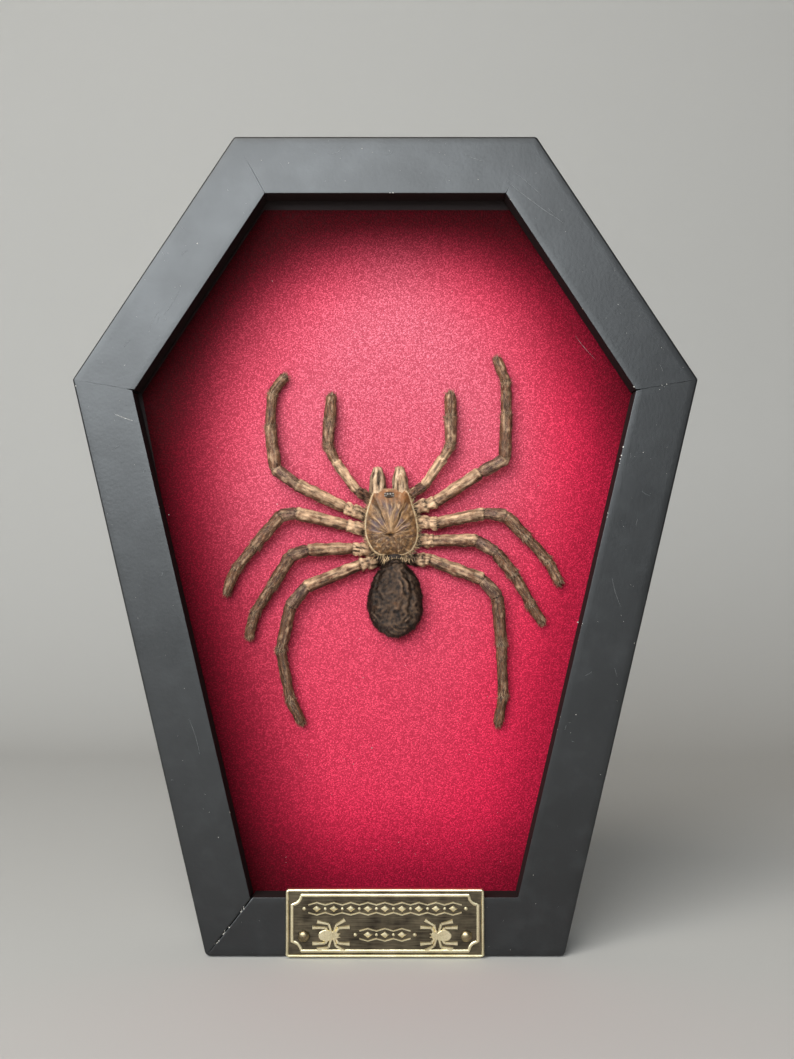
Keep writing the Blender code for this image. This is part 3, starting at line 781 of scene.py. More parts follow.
def emblem(x, facing):
    """A small spider in relief that faces the plate's middle: two lobes, eight jointed bars, two fangs."""
    low, high = FIELD_Y + 0.05 * MM, PLATE_FRONT

    def at(ahead, up):
        return x + facing * ahead * MM, PLATE_Z - EMBLEM_DROP + up * MM

    shapes = [
        raised_lobe(*at(0.7, 0), 1.35 * MM, 1.1 * MM, low, high + 0.04 * MM, shape=STAMPED),
        raised_lobe(*at(-1.3, 0), 2.0 * MM, 1.5 * MM, low, high, shape=STAMPED),
    ]
    high += 0.02 * MM
    for side in (-1, 1):
        for leg in EMBLEM_LEGS:
            hip, knee, tip = (np.array(at(ahead, side * up)) for ahead, up in leg)
            for start, end, widths in ((hip, knee, (0.7, 0.7, 0.9)), (knee, tip, (0.75, 0.85, 1.2))):
                places = [start, (start + end) / 2, end]
                shapes.append(raised_bar(places, np.array(widths) * MM, low, high))
        fang = [at(ahead, side * up) for ahead, up in ((1.5, 0.3), (2.3, 0.45))]
        shapes.append(raised_bar(fang, [0.45 * MM, 0.25 * MM], low, high))
    return shapes


# From one lozenge of the ornament to the next, in mm
LOZENGE_STEP = 4.3


def add_nameplate():
    """A stamped plate: bevelled rim, raised line with notched corners, two spiders and plain ornament."""
    slab = rectangle(0.25 * MM, 0.7 * MM)
    rings = []
    for inset, y in ((0, PLATE_BACK), (0, FIELD_Y + 0.25 * MM), (0.3 * MM, FIELD_Y)):
        rings.append(level(*(slab + inward_from(slab) * inset).T, y))
    build_piece(
        "brushed_plate", np.concatenate(rings), skin_faces(3, len(slab)), FIELD_BRASS, "antique_brass",
        stands_for=["nameplate"], sharp=30,
    )
    rim = [
        (0.02 * MM, PLATE_BACK), (0, FIELD_Y + 0.15 * MM), (0.22 * MM, PLATE_FRONT + 0.06 * MM),
        (0.42 * MM, PLATE_FRONT), (0.62 * MM, PLATE_FRONT + 0.04 * MM), (0.85 * MM, FIELD_Y + 0.05 * MM),
        (0.85 * MM, FIELD_Y + 0.2 * MM), (0.3 * MM, PLATE_BACK),
    ]
    line = [
        (-0.45 * MM, FIELD_Y + 0.1 * MM), (-0.33 * MM, PLATE_FRONT + 0.06 * MM), (-0.2 * MM, PLATE_FRONT),
        (0.2 * MM, PLATE_FRONT), (0.33 * MM, PLATE_FRONT + 0.06 * MM), (0.45 * MM, FIELD_Y + 0.1 * MM),
    ]
    shapes = [
        sweep_round(rectangle(0, 0.9 * MM), rim),
        sweep_round(rectangle(1.65 * MM, 2.3 * MM, hollow=True), line),
    ]
    low, high = FIELD_Y + 0.05 * MM, PLATE_FRONT + 0.05 * MM
    for x in (-13.6, 13.6):
        shapes += emblem(PLATE_X + x * MM, -1 if x > 0 else 1)
    upper, lower = PLATE_Z + 3.6 * MM, PLATE_Z - 2.9 * MM
    # A row of lozenges, each framed by a zigzag line, and a shorter row below
    for row, count in ((upper, 4), (lower, 1)):
        for step in range(-count, count + 1):
            x = PLATE_X + step * LOZENGE_STEP * MM
            shapes.append(raised_lobe(x, row, 1.15 * MM, 0.8 * MM, low, high, 4))
            if step < count:
                shapes.append(
                    raised_lobe(x + LOZENGE_STEP / 2 * MM, row, 0.42 * MM, 0.42 * MM, low, high, 14)
                )
        for side in (-1, 1):
            peaks = np.arange(-2 * count - 1, 2 * count + 2)
            swing = np.where(peaks % 2 == 0, 1.55, 0.95)
            zigzag = np.stack([PLATE_X + LOZENGE_STEP / 2 * peaks * MM, row + side * swing * MM], -1)
            shapes.append(raised_bar(zigzag, [0.42 * MM] * len(zigzag), low, high))
        for side in (-1, 1):
            x = PLATE_X + side * (LOZENGE_STEP * count + 3.2) * MM
            shapes.append(raised_lobe(x, row, 0.5 * MM, 0.5 * MM, low, high, 14))
    build_piece("raised_ornament", *gather(shapes), RAISED_BRASS, "antique_brass", sharp=25)


def turned_on_y(x, z, profile, sides=40):
    """A round solid about a line along Y, from (radius, y) pairs."""
    turns = np.arange(sides) * 2 * math.pi / sides
    rings = [level(x + radius * np.cos(turns), z + radius * np.sin(turns), y) for radius, y in profile]
    return np.concatenate(rings), skin_faces(len(rings), sides)


add_nameplate()
for side in ("left", "right"):
    low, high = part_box("nameplate_pin_" + side)
    x, z, radius = (low.x + high.x) / 2, (low.z + high.z) / 2, (high.x - low.x) / 2
    head = [
        (radius * math.cos(turn), low.y + 0.8 * MM * (1 - math.sin(turn)))
        for turn in np.linspace(math.pi / 2 - 0.05, 0, 12)
    ]
    stem = [(0.5 * MM, low.y + 0.85 * MM), (0.5 * MM, high.y - 1.2 * MM), (0.05 * MM, high.y)]
    build_piece(
        "domed_pin_" + side, *turned_on_y(x, z, head + stem), PIN_BRASS, "dark_brass",
        stands_for=["nameplate_pin_" + side],
    )


# ---------------------------------------------------------------- hanger

for name in ("hanger", "hanger_nail_left", "hanger_nail_right"):
    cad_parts[name].data.materials[0] = ZINC


# ---------------------------------------------------------------- the spider's surfaces and hair


# Skin stops just short of the card
CARD_TOUCH = SHEET_Y - 0.05 * MM


def grid_normals(grid):
    """Outward unit normals of a tube-like grid of points, and the skin's area at each point."""
    along = np.gradient(grid, axis=0)
    around = (np.roll(grid, -1, axis=1) - np.roll(grid, 1, axis=1)) / 2
    normals = np.cross(along, around)
    middle = grid.mean(axis=1, keepdims=True)
    if (normals * (grid - middle)).sum() < 0:
        normals = -normals
    return unit(normals), np.linalg.norm(normals, axis=-1)


def scatter(weight, count):
    """Random places on a grid, as fractional rows and columns, more of them where weight is high."""
    picks = rng.choice(weight.size, count, p=(weight / weight.sum()).ravel())
    row, column = np.divmod(picks, weight.shape[1])
    return row + rng.random(count) - 0.5, column + rng.random(count)


def read_grid(field, row, column):
    """What a grid holds at fractional rows and columns. Columns run round."""
    row = np.clip(row, 0, len(field) - 1.001)
    low, left = np.floor(row).astype(int), np.floor(column).astype(int) % field.shape[1]
    right = (left + 1) % field.shape[1]
    up, over = row - low, column - np.floor(column)
    if field.ndim == 3:
        up, over = up[:, None], over[:, None]
    below = field[low, left] * (1 - over) + field[low, right] * over
    above = field[low + 1, left] * (1 - over) + field[low + 1, right] * over
    return below * (1 - up) + above * up


def grow_hair(name, roots, normals, ways, lift, length, width, tone, material):
    """One bent blade of hair from each root, lying along its way and lifted from the skin."""
    ways = unit(ways - normals * (ways * normals).sum(-1, keepdims=True))
    side = unit(np.cross(ways, normals)) * (width * MM / 2)[:, None]
    lift, length = lift[:, None], (length * MM)[:, None]
    roots = roots - normals * 0.06 * MM
    middle = roots + (ways * np.cos(lift) + normals * np.sin(lift)) * length * 0.55
    tip = middle + (ways * np.cos(lift * 0.4) + normals * np.sin(lift * 0.4)) * length * 0.45
    corners = np.stack([roots - side, roots + side, middle + side * 0.8, middle - side * 0.8, tip], 1)
    # Nothing grows into the card
    corners[..., 1] = np.minimum(corners[..., 1], SHEET_Y - 0.03 * MM)
    first = np.arange(len(roots))[:, None] * 5
    faces = (first + [0, 1, 2, 3]).tolist() + (first + [3, 2, 4]).tolist()
    mesh = bpy.data.meshes.new(name)
    mesh.from_pydata(corners.reshape(-1, 3).tolist(), [], faces)
    mesh.materials.append(material)
    shades = mesh.attributes.new("tone", "FLOAT", "POINT")
    shades.data.foreach_set("value", np.repeat(np.clip(tone, 0, 1), 5).astype(np.float32))
    add_piece(name, mesh)


# ---------------------------------------------------------------- legs, palps and jaws

# Joints from the hip to the claw: (right, up) from the pit of the carapace, in mm
LEG_JOINTS = {
    "leg_1_left": ((-8, 5.5), (-12.5, 7), (-25, 13), (-30.5, 17), (-32, 28.5), (-31.5, 37), (-28, 42)),
    "leg_1_right": ((6.5, 7), (11, 8.5), (22.5, 16), (29, 19.5), (29.5, 31.5), (29.5, 40), (27, 46.5)),
    "leg_2_left": ((-8, 1.5), (-12, 2.5), (-25, 5.5), (-29, 5), (-36, -3), (-41, -9), (-43.5, -15.5)),
    "leg_2_right": ((7, 3.4), (11.5, 3), (23.5, 5.5), (29, 5), (35, -1), (40.5, -7), (43.5, -13)),
    "leg_3_left": (
        (-6.5, -4), (-10.5, -3.5), (-22, -4), (-26.5, -5.5), (-31.5, -13.5), (-36, -20.5), (-37.5, -27)
    ),
    "leg_3_right": (
        (8, -1.5), (10.5, -1.5), (21.5, -1.5), (26.5, -4.5), (31.5, -10.5), (36, -18.5), (39, -23)
    ),
    "leg_4_left": (
        (-4.8, -7), (-8.5, -7.8), (-22.5, -13.5), (-26.5, -18.5), (-29, -30), (-26.5, -43), (-23.5, -49)
    ),
    "leg_4_right": ((7, -6.5), (9.5, -6.5), (23, -11.5), (27, -16), (28, -28.5), (28.5, -42), (27, -49.5)),
}
LEG_HEIGHTS = (1.7, 2.7, 3.0, 4.0, 3.8, 2.8, 2.0, 1.5)
PALP_JOINTS = {
    "pedipalp_left": ((-6.0, 9.4), (-9.5, 11.5), (-15, 19), (-17, 23.5), (-16.5, 30), (-16, 37)),
    "pedipalp_right": ((4.2, 10.4), (8, 12.5), (13, 20), (15, 23.5), (15, 31), (15, 37.5)),
}
PALP_HEIGHTS = (1.6, 3.0, 3.6, 3.2, 2.4, 1.5)
JAW_JOINTS = {
    "chelicera_left": ((-3.9, 9.8), (-4.0, 14.0), (-4.05, 17.6)),
    "chelicera_right": ((2.0, 9.8), (1.9, 14.0), (1.7, 17.7)),
}
JAW_HEIGHTS = (1.9, 3.0, 2.4)

# For each segment: radius at its start and end in mm, how pale and how mauve its skin is
LEG_SEGMENTS = (
    (1.35, 1.75, 0.6, 0.1), (1.45, 1.65, 0.8, 0.0), (1.45, 1.65, 0.42, 0.1), (1.5, 1.6, 0.06, 0.75),
    (1.6, 1.45, 0.0, 0.15), (1.35, 1.25, -0.05, 0.1), (1.3, 1.2, -0.08, 0.0),
)
PALP_SEGMENTS = (
    (1.1, 1.3, 0.0, 0.5), (1.15, 1.25, 0.5, 0.1), (1.2, 1.3, 0.08, 0.2), (1.45, 1.55, -0.06, 0.3),
    (1.6, 1.35, -0.1, 0.1),
)
JAW_SEGMENTS = ((2.0, 2.0, 0.4, 0.1), (2.0, 1.15, 0.4, 0.0))


def split_hip(joints):
    """Adds the joint inside the hip, a little over half way along it."""
    hip, thigh = np.array(joints[0]), np.array(joints[1])
    return (joints[0], tuple(hip * 0.45 + thigh * 0.55)) + joints[1:]


def add_limb(name, joints, heights, segments, skin, slot, hairs, necks=1.0, tucked=0.0, hips=0, gloom=0.0):
    """One limb: segments with flared ends and narrow joints, furrows along them, and flat hair.

    tucked is how far its hip reaches in under the shield. The first hips segments are crumpled.
    gloom darkens the whole limb.
    """
    corners = np.array(
        [(SPIDER_X + r * MM, SHEET_Y - h * MM, SPIDER_Z + u * MM) for (r, u), h in zip(joints, heights)]
    )
    corners[0] += unit(corners[0] - corners[1]) * tucked * MM
    joint_at = np.concatenate([[0], np.cumsum(np.linalg.norm(np.diff(corners, axis=0), axis=1))])
    along = np.linspace(0, joint_at[-1], int(joint_at[-1] / (0.22 * MM)))
    straight = np.stack([np.interp(along, joint_at, corners[:, k]) for k in range(3)], -1)
    reach = 4
    padded = np.concatenate(
        [
            straight[0] + (straight[0] - straight[1]) * np.arange(reach, 0, -1)[:, None],
            straight,
            straight[-1] + (straight[-1] - straight[-2]) * np.arange(1, reach + 1)[:, None],
        ]
    )
    blur = np.hanning(2 * reach + 3)[1:-1]
    path = np.stack([np.convolve(padded[:, k], blur / blur.sum(), "valid") for k in range(3)], -1)
    which = np.clip(np.searchsorted(joint_at, along, side="right") - 1, 0, len(segments) - 1)
    start, end, pale, mauve = np.array(segments)[which].T
    length = np.diff(joint_at)[which]
    done = (along - joint_at[which]) / length
    from_start, to_end = (along - joint_at[which]) / MM, (joint_at[which + 1] - along) / MM
    first, last = which == 0, which == len(segments) - 1
    radius = start + (end - start) * done + 0.06 * np.sin(np.pi * done)
    pinch = necks * np.where(which < hips, 0.5, 1.0)
    radius *= 1 - pinch * 0.14 * np.exp(-((from_start / 0.4) ** 2)) * ~first
    radius *= 1 - pinch * 0.12 * np.exp(-((to_end / 0.22) ** 2)) * ~last
    radius += pinch * 0.07 * np.exp(-(((to_end - 0.6) / 0.35) ** 2)) * ~last
    tip = np.clip(1 - to_end / ((0.95 if necks else 0.35) * radius), 0, 0.999)
    radius *= np.where(last, np.sqrt(1 - tip**2), 1)

    way = unit(np.gradient(path, axis=0))
    front = unit(np.array([0, -1, 0]) - way * (way * [0, -1, 0]).sum(-1, keepdims=True))
    side = np.cross(way, front)
    sides = 32
    turn = np.arange(sides) * 2 * math.pi / sides
    seed = sum(ord(letter) for letter in name) % 97
    facing = np.cos(turn)[None, :, None] * front[:, None] + np.sin(turn)[None, :, None] * side[:, None]
    skin_place = np.stack(
        [
            np.broadcast_to(along[:, None] / MM + seed * 13.0, (len(along), sides)),
            radius[:, None] * np.cos(turn),
            radius[:, None] * np.sin(turn),
        ],
        -1,
    )
    stretched = skin_place * [0.16, 1, 1] * MM
    # The seams between segments wander a little
    seam = 0.35 * ripple(skin_place * [0.2, 1, 1] * MM, 1.4, seed + 6)
    near_start, near_end = from_start[:, None] + seam, to_end[:, None] + seam
    collar = necks * np.exp(-(((near_end - 0.4) / 0.22) ** 2)) * ~last[:, None]
    neck = np.exp(-((near_start / 0.26) ** 2)) * ~first[:, None]
    neck = necks * (neck + np.exp(-((near_end / 0.16) ** 2)) * ~last[:, None])
    furrow = ripple(stretched, 0.55, seed)
    lumps = ripple(skin_place * MM, 1.7, seed)
    fine = ripple(skin_place * [0.5, 1, 1] * MM, 0.4, seed)
    twin = np.exp(-(((np.abs(turn - np.pi) - np.pi + 0.42) / 0.16) ** 2))[None, :]
    uneven = ripple(np.stack([along / MM, along * 0, along * 0 + seed], -1) * MM, 2.6)[:, None]
    swell = radius[:, None] * (1 + 0.09 * lumps + 0.08 * uneven) + 0.2 * furrow + 0.07 * fine
    hip = (which < hips)[:, None]
    creases = ripple(skin_place * [0.55, 1, 1] * MM, 0.8, seed + 8)
    creases = creases + 0.5 * ripple(skin_place * [0.8, 1, 1] * MM, 0.45, seed + 9)
    swell += 0.32 * creases * hip
    swell -= 0.1 * np.exp(-((np.sin(turn / 2) / 0.12) ** 2))[None, :] * (~first)[:, None] * necks
    flat = np.where(np.cos(turn) > 0, 0.9, 0.96)[None, :]
    swell *= 1 - (1 - flat) * np.cos(turn)[None, :] ** 2
    grid = path[:, None] + facing * swell[..., None] * MM
    grid[..., 1] = np.minimum(grid[..., 1], CARD_TOUCH)

    patchy = 0.5 + 0.5 * ripple(skin_place * MM, 0.9, seed + 3)
    thigh = (which == hips)[:, None] * (necks > 0)
    # Painted highlight: pale lines along the two ridges either side of the front, besides the pale segments
    # and collars
    pale_and_lit = pale[:, None] + 0.2 * twin * (~first)[:, None] + collar * (0.1 + 0.7 * patchy**2)
    outer = (which > hips)[:, None]
    # Painted highlight on the raised streaks
    pale_and_lit = pale_and_lit + np.where(outer, 0.15, 0.34) * smooth_step(0.2, 0.6, furrow)
    # Painted light: the thigh is paler on its upper side
    pale_and_lit = pale_and_lit + 0.35 * thigh * facing[..., 2]
    pale_and_lit = pale_and_lit - gloom * (1 + thigh)
    depth = np.where(hip, 0.6, 0.95) * neck * (0.3 + 0.7 * patchy)
    depth = depth + gloom * np.where(outer, 1.6, 0.5)
    # Painted shade in the grooves between the streaks
    depth = depth + np.where(outer, 0.42, 0.6) * smooth_step(0.08, 0.45, -furrow)
    # Painted shade: close to the body, under the shield's margin, it is dark
    depth = depth + 0.9 * smooth_step(tucked + 1.1, tucked - 0.8, along / MM)[:, None] * (tucked > 0)
    # Painted shade in the creases of the crumpled hips
    depth = depth + 0.85 * smooth_step(0.15, 0.6, -creases) * hip
    if not necks:
        # Painted shade: the jaws are darker down their sides and in their grooves, with a brown line between
        depth = depth + 0.75 * smooth_step(0.5, 0.95, np.abs(np.sin(turn))) * (0.4 + 0.6 * patchy)
        depth = depth + 0.5 * smooth_step(0.1, 0.5, -furrow)
    # Painted shade: the thigh is darker on its underside
    depth = depth + 0.3 * thigh * smooth_step(0.1, 0.9, -facing[..., 2])
    mauveness = mauve[:, None] * (0.55 + 0.45 * ripple(skin_place * MM, 2.5, seed + 5))
    build_piece(
        name + "_skin",
        grid.reshape(-1, 3),
        skin_faces(len(along), sides),
        skin,
        slot,
        stands_for=[name],
        sharp=60,
        marks={
            "skin": skin_place.reshape(-1, 3), "pale": np.clip(pale_and_lit, -0.2, 1).ravel(),
            "deep": np.clip(depth, 0, 1).ravel(), "mauve": np.clip(mauveness, 0, 1).ravel(),
        },
    )

    normals, area = grid_normals(grid)
    seen = smooth_step(-0.5, 0.2, -normals[..., 1])
    density = area * (0.06 + seen) * (1 - 0.6 * neck) * (1 - 0.5 * pale[:, None])
    row, column = scatter(density, hairs)
    ways = np.broadcast_to(way[:, None], grid.shape)
    lean = read_grid(ways, row, column) + rng.normal(0, 0.16, (hairs, 3))
    paler, darker = read_grid(np.clip(pale_and_lit, 0, 1), row, column), read_grid(depth, row, column)
    # The hair takes the skin's paleness and darkness, painted light and shade included
    tone = 0.16 + 0.62 * paler - 0.35 * darker
    grow_hair(
        name + "_short_hair", read_grid(grid, row, column), unit(read_grid(normals, row, column)), lean,
        rng.uniform(0.1, 0.35, hairs), rng.uniform(0.45, 1.1, hairs), rng.uniform(0.04, 0.07, hairs),
        tone + rng.normal(0, 0.2, hairs), LEG_HAIR,
    )
    if necks:
        add_tufts(name, grid, normals, ways, area, which, to_end, len(segments))


def add_tufts(name, grid, normals, ways, area, which, to_end, count):
    """Longer hair: ragged tufts below the ends of the outer segments, and a few lone bristles."""
    lower = smooth_step(-0.1, 0.7, -normals[..., 2]) * smooth_step(0.8, 0.2, np.abs(normals[..., 1]))
    outer = (which >= count - 3) & (which < count - 1)
    ends = np.exp(-((to_end / 1.6) ** 2)) * outer
    ends = ends + 0.5 * np.exp(-((to_end / 1.3) ** 2)) * (which == count - 1)
    weight = area * (ends[:, None] * (0.25 + lower) + 1e-9)
    tufts, lone = 460, 170
    row, column = scatter(weight, tufts)
    single_row, single_column = scatter(area * smooth_step(-0.6, 0.2, -normals[..., 1]), lone)
    row, column = np.concatenate([row, single_row]), np.concatenate([column, single_column])
    total = tufts + lone
    lean = read_grid(ways, row, column) + rng.normal(0, 0.3, (total, 3)) + [0, 0, -0.15]
    is_tuft = np.arange(total) < tufts
    grow_hair(
        name + "_long_hair", read_grid(grid, row, column), unit(read_grid(normals, row, column)), lean,
        np.where(is_tuft, rng.uniform(0.35, 0.8, total), rng.uniform(0.4, 1.0, total)),
        np.where(is_tuft, rng.uniform(0.8, 1.8, total), rng.uniform(0.7, 1.8, total)),
        rng.uniform(0.06, 0.1, total),
        np.where(rng.random(total) < 0.6, rng.uniform(0.25, 0.6, total), rng.uniform(0.0, 0.2, total)),
        LEG_HAIR,
    )


# The hind legs are darker than the front ones
LEG_GLOOM = {"1": 0.05, "2": 0.08, "3": 0.12, "4": 0.16}
for name, joints in LEG_JOINTS.items():
    add_limb(
        name, split_hip(joints), LEG_HEIGHTS, LEG_SEGMENTS, LEG_SKIN, "leg_cuticle", hairs=4200, tucked=3.6,
        hips=2, gloom=LEG_GLOOM[name[4]],
    )
for name, joints in PALP_JOINTS.items():
    add_limb(
        name, joints, PALP_HEIGHTS, PALP_SEGMENTS, LEG_SKIN, "leg_cuticle", hairs=2400, tucked=1.5, hips=1
    )
for name, joints in JAW_JOINTS.items():
    add_limb(name, joints, JAW_HEIGHTS, JAW_SEGMENTS, JAW_SKIN, "pale_cuticle", hairs=900, necks=0.0)


# ---------------------------------------------------------------- carapace

# How far left of the limbs' middle the shield lies
SHIELD_SHIFT = 0.5 * MM
# The shield's margin, (right, up) from its pit in mm, clockwise from the front right corner
MARGIN = (
    (4.3, 11.5), (5.0, 9.5), (5.7, 7.2), (6.4, 4.8), (6.9, 2.2), (6.9, -0.4), (6.4, -2.5), (5.3, -4.2),
    (3.2, -5.3), (0.2, -5.1), (-2.9, -5.3), (-4.6, -4.2), (-5.7, -2.5), (-6.5, -0.4), (-6.8, 2.2),
    (-6.6, 4.8), (-6.0, 7.2), (-5.2, 9.5), (-4.6, 11.4), (-2.6, 11.9), (0, 11.95), (2.4, 11.9),
)
# Ways from the pit in degrees from the right, anticlockwise
PALE_RAYS = (12, 31, 46, 60, 68, 84, 96, 113, 121, 137, 152, 168, 197)
GROOVES = (-52, -20, 20, 39, 64, 117, 144, 160, 200, 232)


def near_way(turn, degrees, width):
    """1 along a way from the pit, falling to 0 within about width degrees."""
    away = (np.degrees(turn) - degrees + 180) % 360 - 180
    return np.exp(-((away / width) ** 2))


def add_carapace():
    """The shield, with its pit, rays, raised head and cream fringe."""
    margin = np.array(MARGIN + MARGIN[:1])
    at = np.concatenate([[0], np.cumsum(np.linalg.norm(np.diff(margin, axis=0), axis=1))])
    places = np.linspace(0, at[-1], 240, endpoint=False)
    outline = np.stack([np.interp(places, at, margin[:, k]) for k in (0, 1)], -1)
    blur = np.hanning(15)[1:-1]
    blur /= blur.sum()
    outline = np.stack(
        [np.convolve(np.concatenate([line[-6:], line, line[:6]]), blur, "valid") for line in outline.T], -1
    )
    share = np.linspace(0.004, 1, 70) ** 0.85
    plan = outline[None] * share[:, None, None]
    right, up = plan[..., 0], plan[..., 1]
    turn = np.arctan2(outline[:, 1], outline[:, 0])[None, :].repeat(len(share), 0)
    out = share[:, None].repeat(len(outline), 1)
    from_pit = np.hypot(right, up)
    spots = np.stack([right, np.zeros_like(right), up], -1) * MM
    broken = 0.5 + 0.5 * ripple(spots, 1.3, 4)
    fine = ripple(spots, 0.45, 9)
    sway = 5 * ripple(spots, 2.2, 14)
    grooves = sum(near_way(turn, way + sway, 4.5) for way in GROOVES)
    rays = sum(near_way(turn, way + sway, 1.5) for way in PALE_RAYS)
    head = smooth_step(33, 20, np.abs(np.degrees(turn) - 90.5)) * smooth_step(1.0, 5.0, from_pit)
    aside = right + 0.25
    crescent = np.exp(-((aside / 1.0) ** 2) - (((up - 0.1 * aside**2 + 0.1) / 0.3) ** 2))
    strands = ripple(np.stack([np.cos(turn), out * 0.3, np.sin(turn)], -1) * MM, 0.062, 5)
    strands = strands * smooth_step(-0.5, 0.4, ripple(spots, 1.6, 17))
    ridge = np.exp(-((right / 0.5) ** 2)) * smooth_step(0.4, 1.2, up) * smooth_step(7.5, 3, up)
    height = 3.3 + 2.0 * (1 - out**2.3) ** 0.75 + 0.35 * head
    height -= 0.13 * grooves * smooth_step(0.1, 0.3, out) * smooth_step(0.98, 0.75, out)
    height += 0.18 * ridge - 0.75 * crescent + 0.05 * (broken - 0.5) + 0.045 * fine
    height += (0.03 * rays + 0.07 * strands) * smooth_step(0.15, 0.4, out)
    lip = smooth_step(0.93, 0.99, out)
    height += 0.12 * lip
    depth = SHEET_Y - height * MM
    top = np.stack([SPIDER_X + right * MM - SHIELD_SHIFT, depth, SPIDER_Z + up * MM], -1)
    under = top[-1:].copy()
    middle = under.mean(axis=1, keepdims=True)
    tucked = []
    for inward, low in ((0.0, 3.05), (0.06, 2.7), (0.2, 1.2)):
        ring = under + (middle - under) * inward
        ring[..., 1] = SHEET_Y - low * MM
        tucked.append(ring)
    grid = np.concatenate([top] + tucked)
    rows = len(grid)

    sides = smooth_step(0.15, 0.5, np.abs(np.cos(turn)))
    front = smooth_step(0.86, 0.93, np.sin(turn))
    rim = smooth_step(0.955, 0.98, out) * np.maximum(sides * (0.05 + 0.95 * broken), 0.1 * front)
    rear = smooth_step(0.5, -1.0, up)
    fans = ripple(np.stack([np.cos(turn), out * 0.4, np.sin(turn)], -1) * MM, 0.16, 2)
    wedge = smooth_step(0.0, 0.5, fans) * smooth_step(0.15, 0.4, out)
    wedge = wedge * smooth_step(0.95, 0.75, out) * (1 - 0.7 * rear)
    for way, place, reach in ((128, 4.2, 1.5), (154, 4.6, 1.6), (91, 6.6, 0.9), (52, 4.3, 1.0)):
        angle = math.radians(way)
        away = np.hypot(right - place * math.cos(angle), up - place * math.sin(angle))
        wedge = np.maximum(wedge, 0.95 * smooth_step(reach, reach * 0.4, away))
    wedge *= 1 - 0.75 * smooth_step(7.2, 9.5, up)
    ray = rays * smooth_step(0.08, 0.2, out) * smooth_step(0.9, 0.5, out) * broken * (1 - 0.8 * rear)
    ray = np.maximum(ray, 0.4 * ridge)
    hatching = 0.45 * smooth_step(0.15, 0.55, strands) * smooth_step(0.15, 0.35, out) * (1 - lip)
    ray = np.maximum(ray, hatching)
    speckle = smooth_step(0.15, 0.5, ripple(spots, 0.55, 21)) * rear * 0.55
    dark_line = np.exp(-(((up + 0.1 + 0.02 * right) / 0.09) ** 2)) * (right < -0.9)
    dark_line = dark_line * smooth_step(0.96, 0.9, out)
    streaks = 0.5 * smooth_step(0.2, 0.6, -fans) + 0.5 * grooves * smooth_step(0.2, 0.5, out) * (1 - lip)
    streaks = streaks + 0.6 * smooth_step(0.15, 0.55, -strands) * smooth_step(0.12, 0.3, out) * (1 - lip)
    deep = np.maximum(np.maximum(1.2 * crescent, 0.8 * dark_line), 0.75 * streaks)
    tan = smooth_step(6.5, 10.0, up) * (0.4 + 0.6 * broken)
    deep = np.maximum(deep, 0.6 * rear * smooth_step(0.3, -0.2, ripple(spots, 0.8, 31)) * (1 - lip))
    deep = np.maximum(deep, 0.4 * smooth_step(0.1, 0.5, ripple(spots, 1.1, 37)) * (1 - lip))

    def with_tuck(field):
        return np.clip(np.concatenate([field, field[-1:].repeat(rows - len(field), 0)]), 0, 1).ravel()

    build_piece(
        "carapace_shield",
        grid.reshape(-1, 3),
        skin_faces(rows, len(outline)),
        SHIELD,
        "carapace",
        stands_for=["cephalothorax"],
        sharp=70,
        marks={
            "wedge": with_tuck(wedge), "ray": with_tuck(np.maximum(ray, speckle)), "rim": with_tuck(rim),
            "deep": with_tuck(deep), "tan": with_tuck(tan),
        },
    )

    normals, area = grid_normals(grid)
    body = np.zeros(grid.shape[:2])
    body[: len(top)] = area[: len(top)] * smooth_step(0.1, 0.3, out)
    outward = unit(np.stack([right, np.zeros_like(right), up], -1) + [0, 0, -1.5])
    outward = np.concatenate([outward, outward[-1:].repeat(rows - len(top), 0)])
    hairs = 3600
    row, column = scatter(body, hairs)
    tone = 0.24 + 0.5 * ray + 0.5 * rim - 0.25 * deep + 0.2 * speckle
    tone = np.concatenate([tone, np.zeros((rows - len(top), len(outline)))])
    grow_hair(
        "carapace_hair", read_grid(grid, row, column), unit(read_grid(normals, row, column)),
        read_grid(outward, row, column) + rng.normal(0, 0.2, (hairs, 3)), rng.uniform(0.05, 0.3, hairs),
        rng.uniform(0.3, 0.75, hairs), rng.uniform(0.045, 0.075, hairs),
        read_grid(tone, row, column) + rng.normal(0, 0.15, hairs), SHIELD_HAIR,
    )
    fringe = np.zeros(grid.shape[:2])
    fringe[len(top) - 4 : len(top) + 1] = (0.1 + sides[0])[None, :]
    hairs = 1700
    row, column = scatter(fringe, hairs)
    grow_hair(
        "carapace_fringe", read_grid(grid, row, column), unit(read_grid(normals, row, column)),
        read_grid(outward, row, column) + rng.normal(0, 0.35, (hairs, 3)), rng.uniform(0.0, 0.5, hairs),
        rng.uniform(0.3, 0.75, hairs), rng.uniform(0.045, 0.07, hairs), rng.uniform(0.6, 1.0, hairs),
        SHIELD_HAIR,
    )
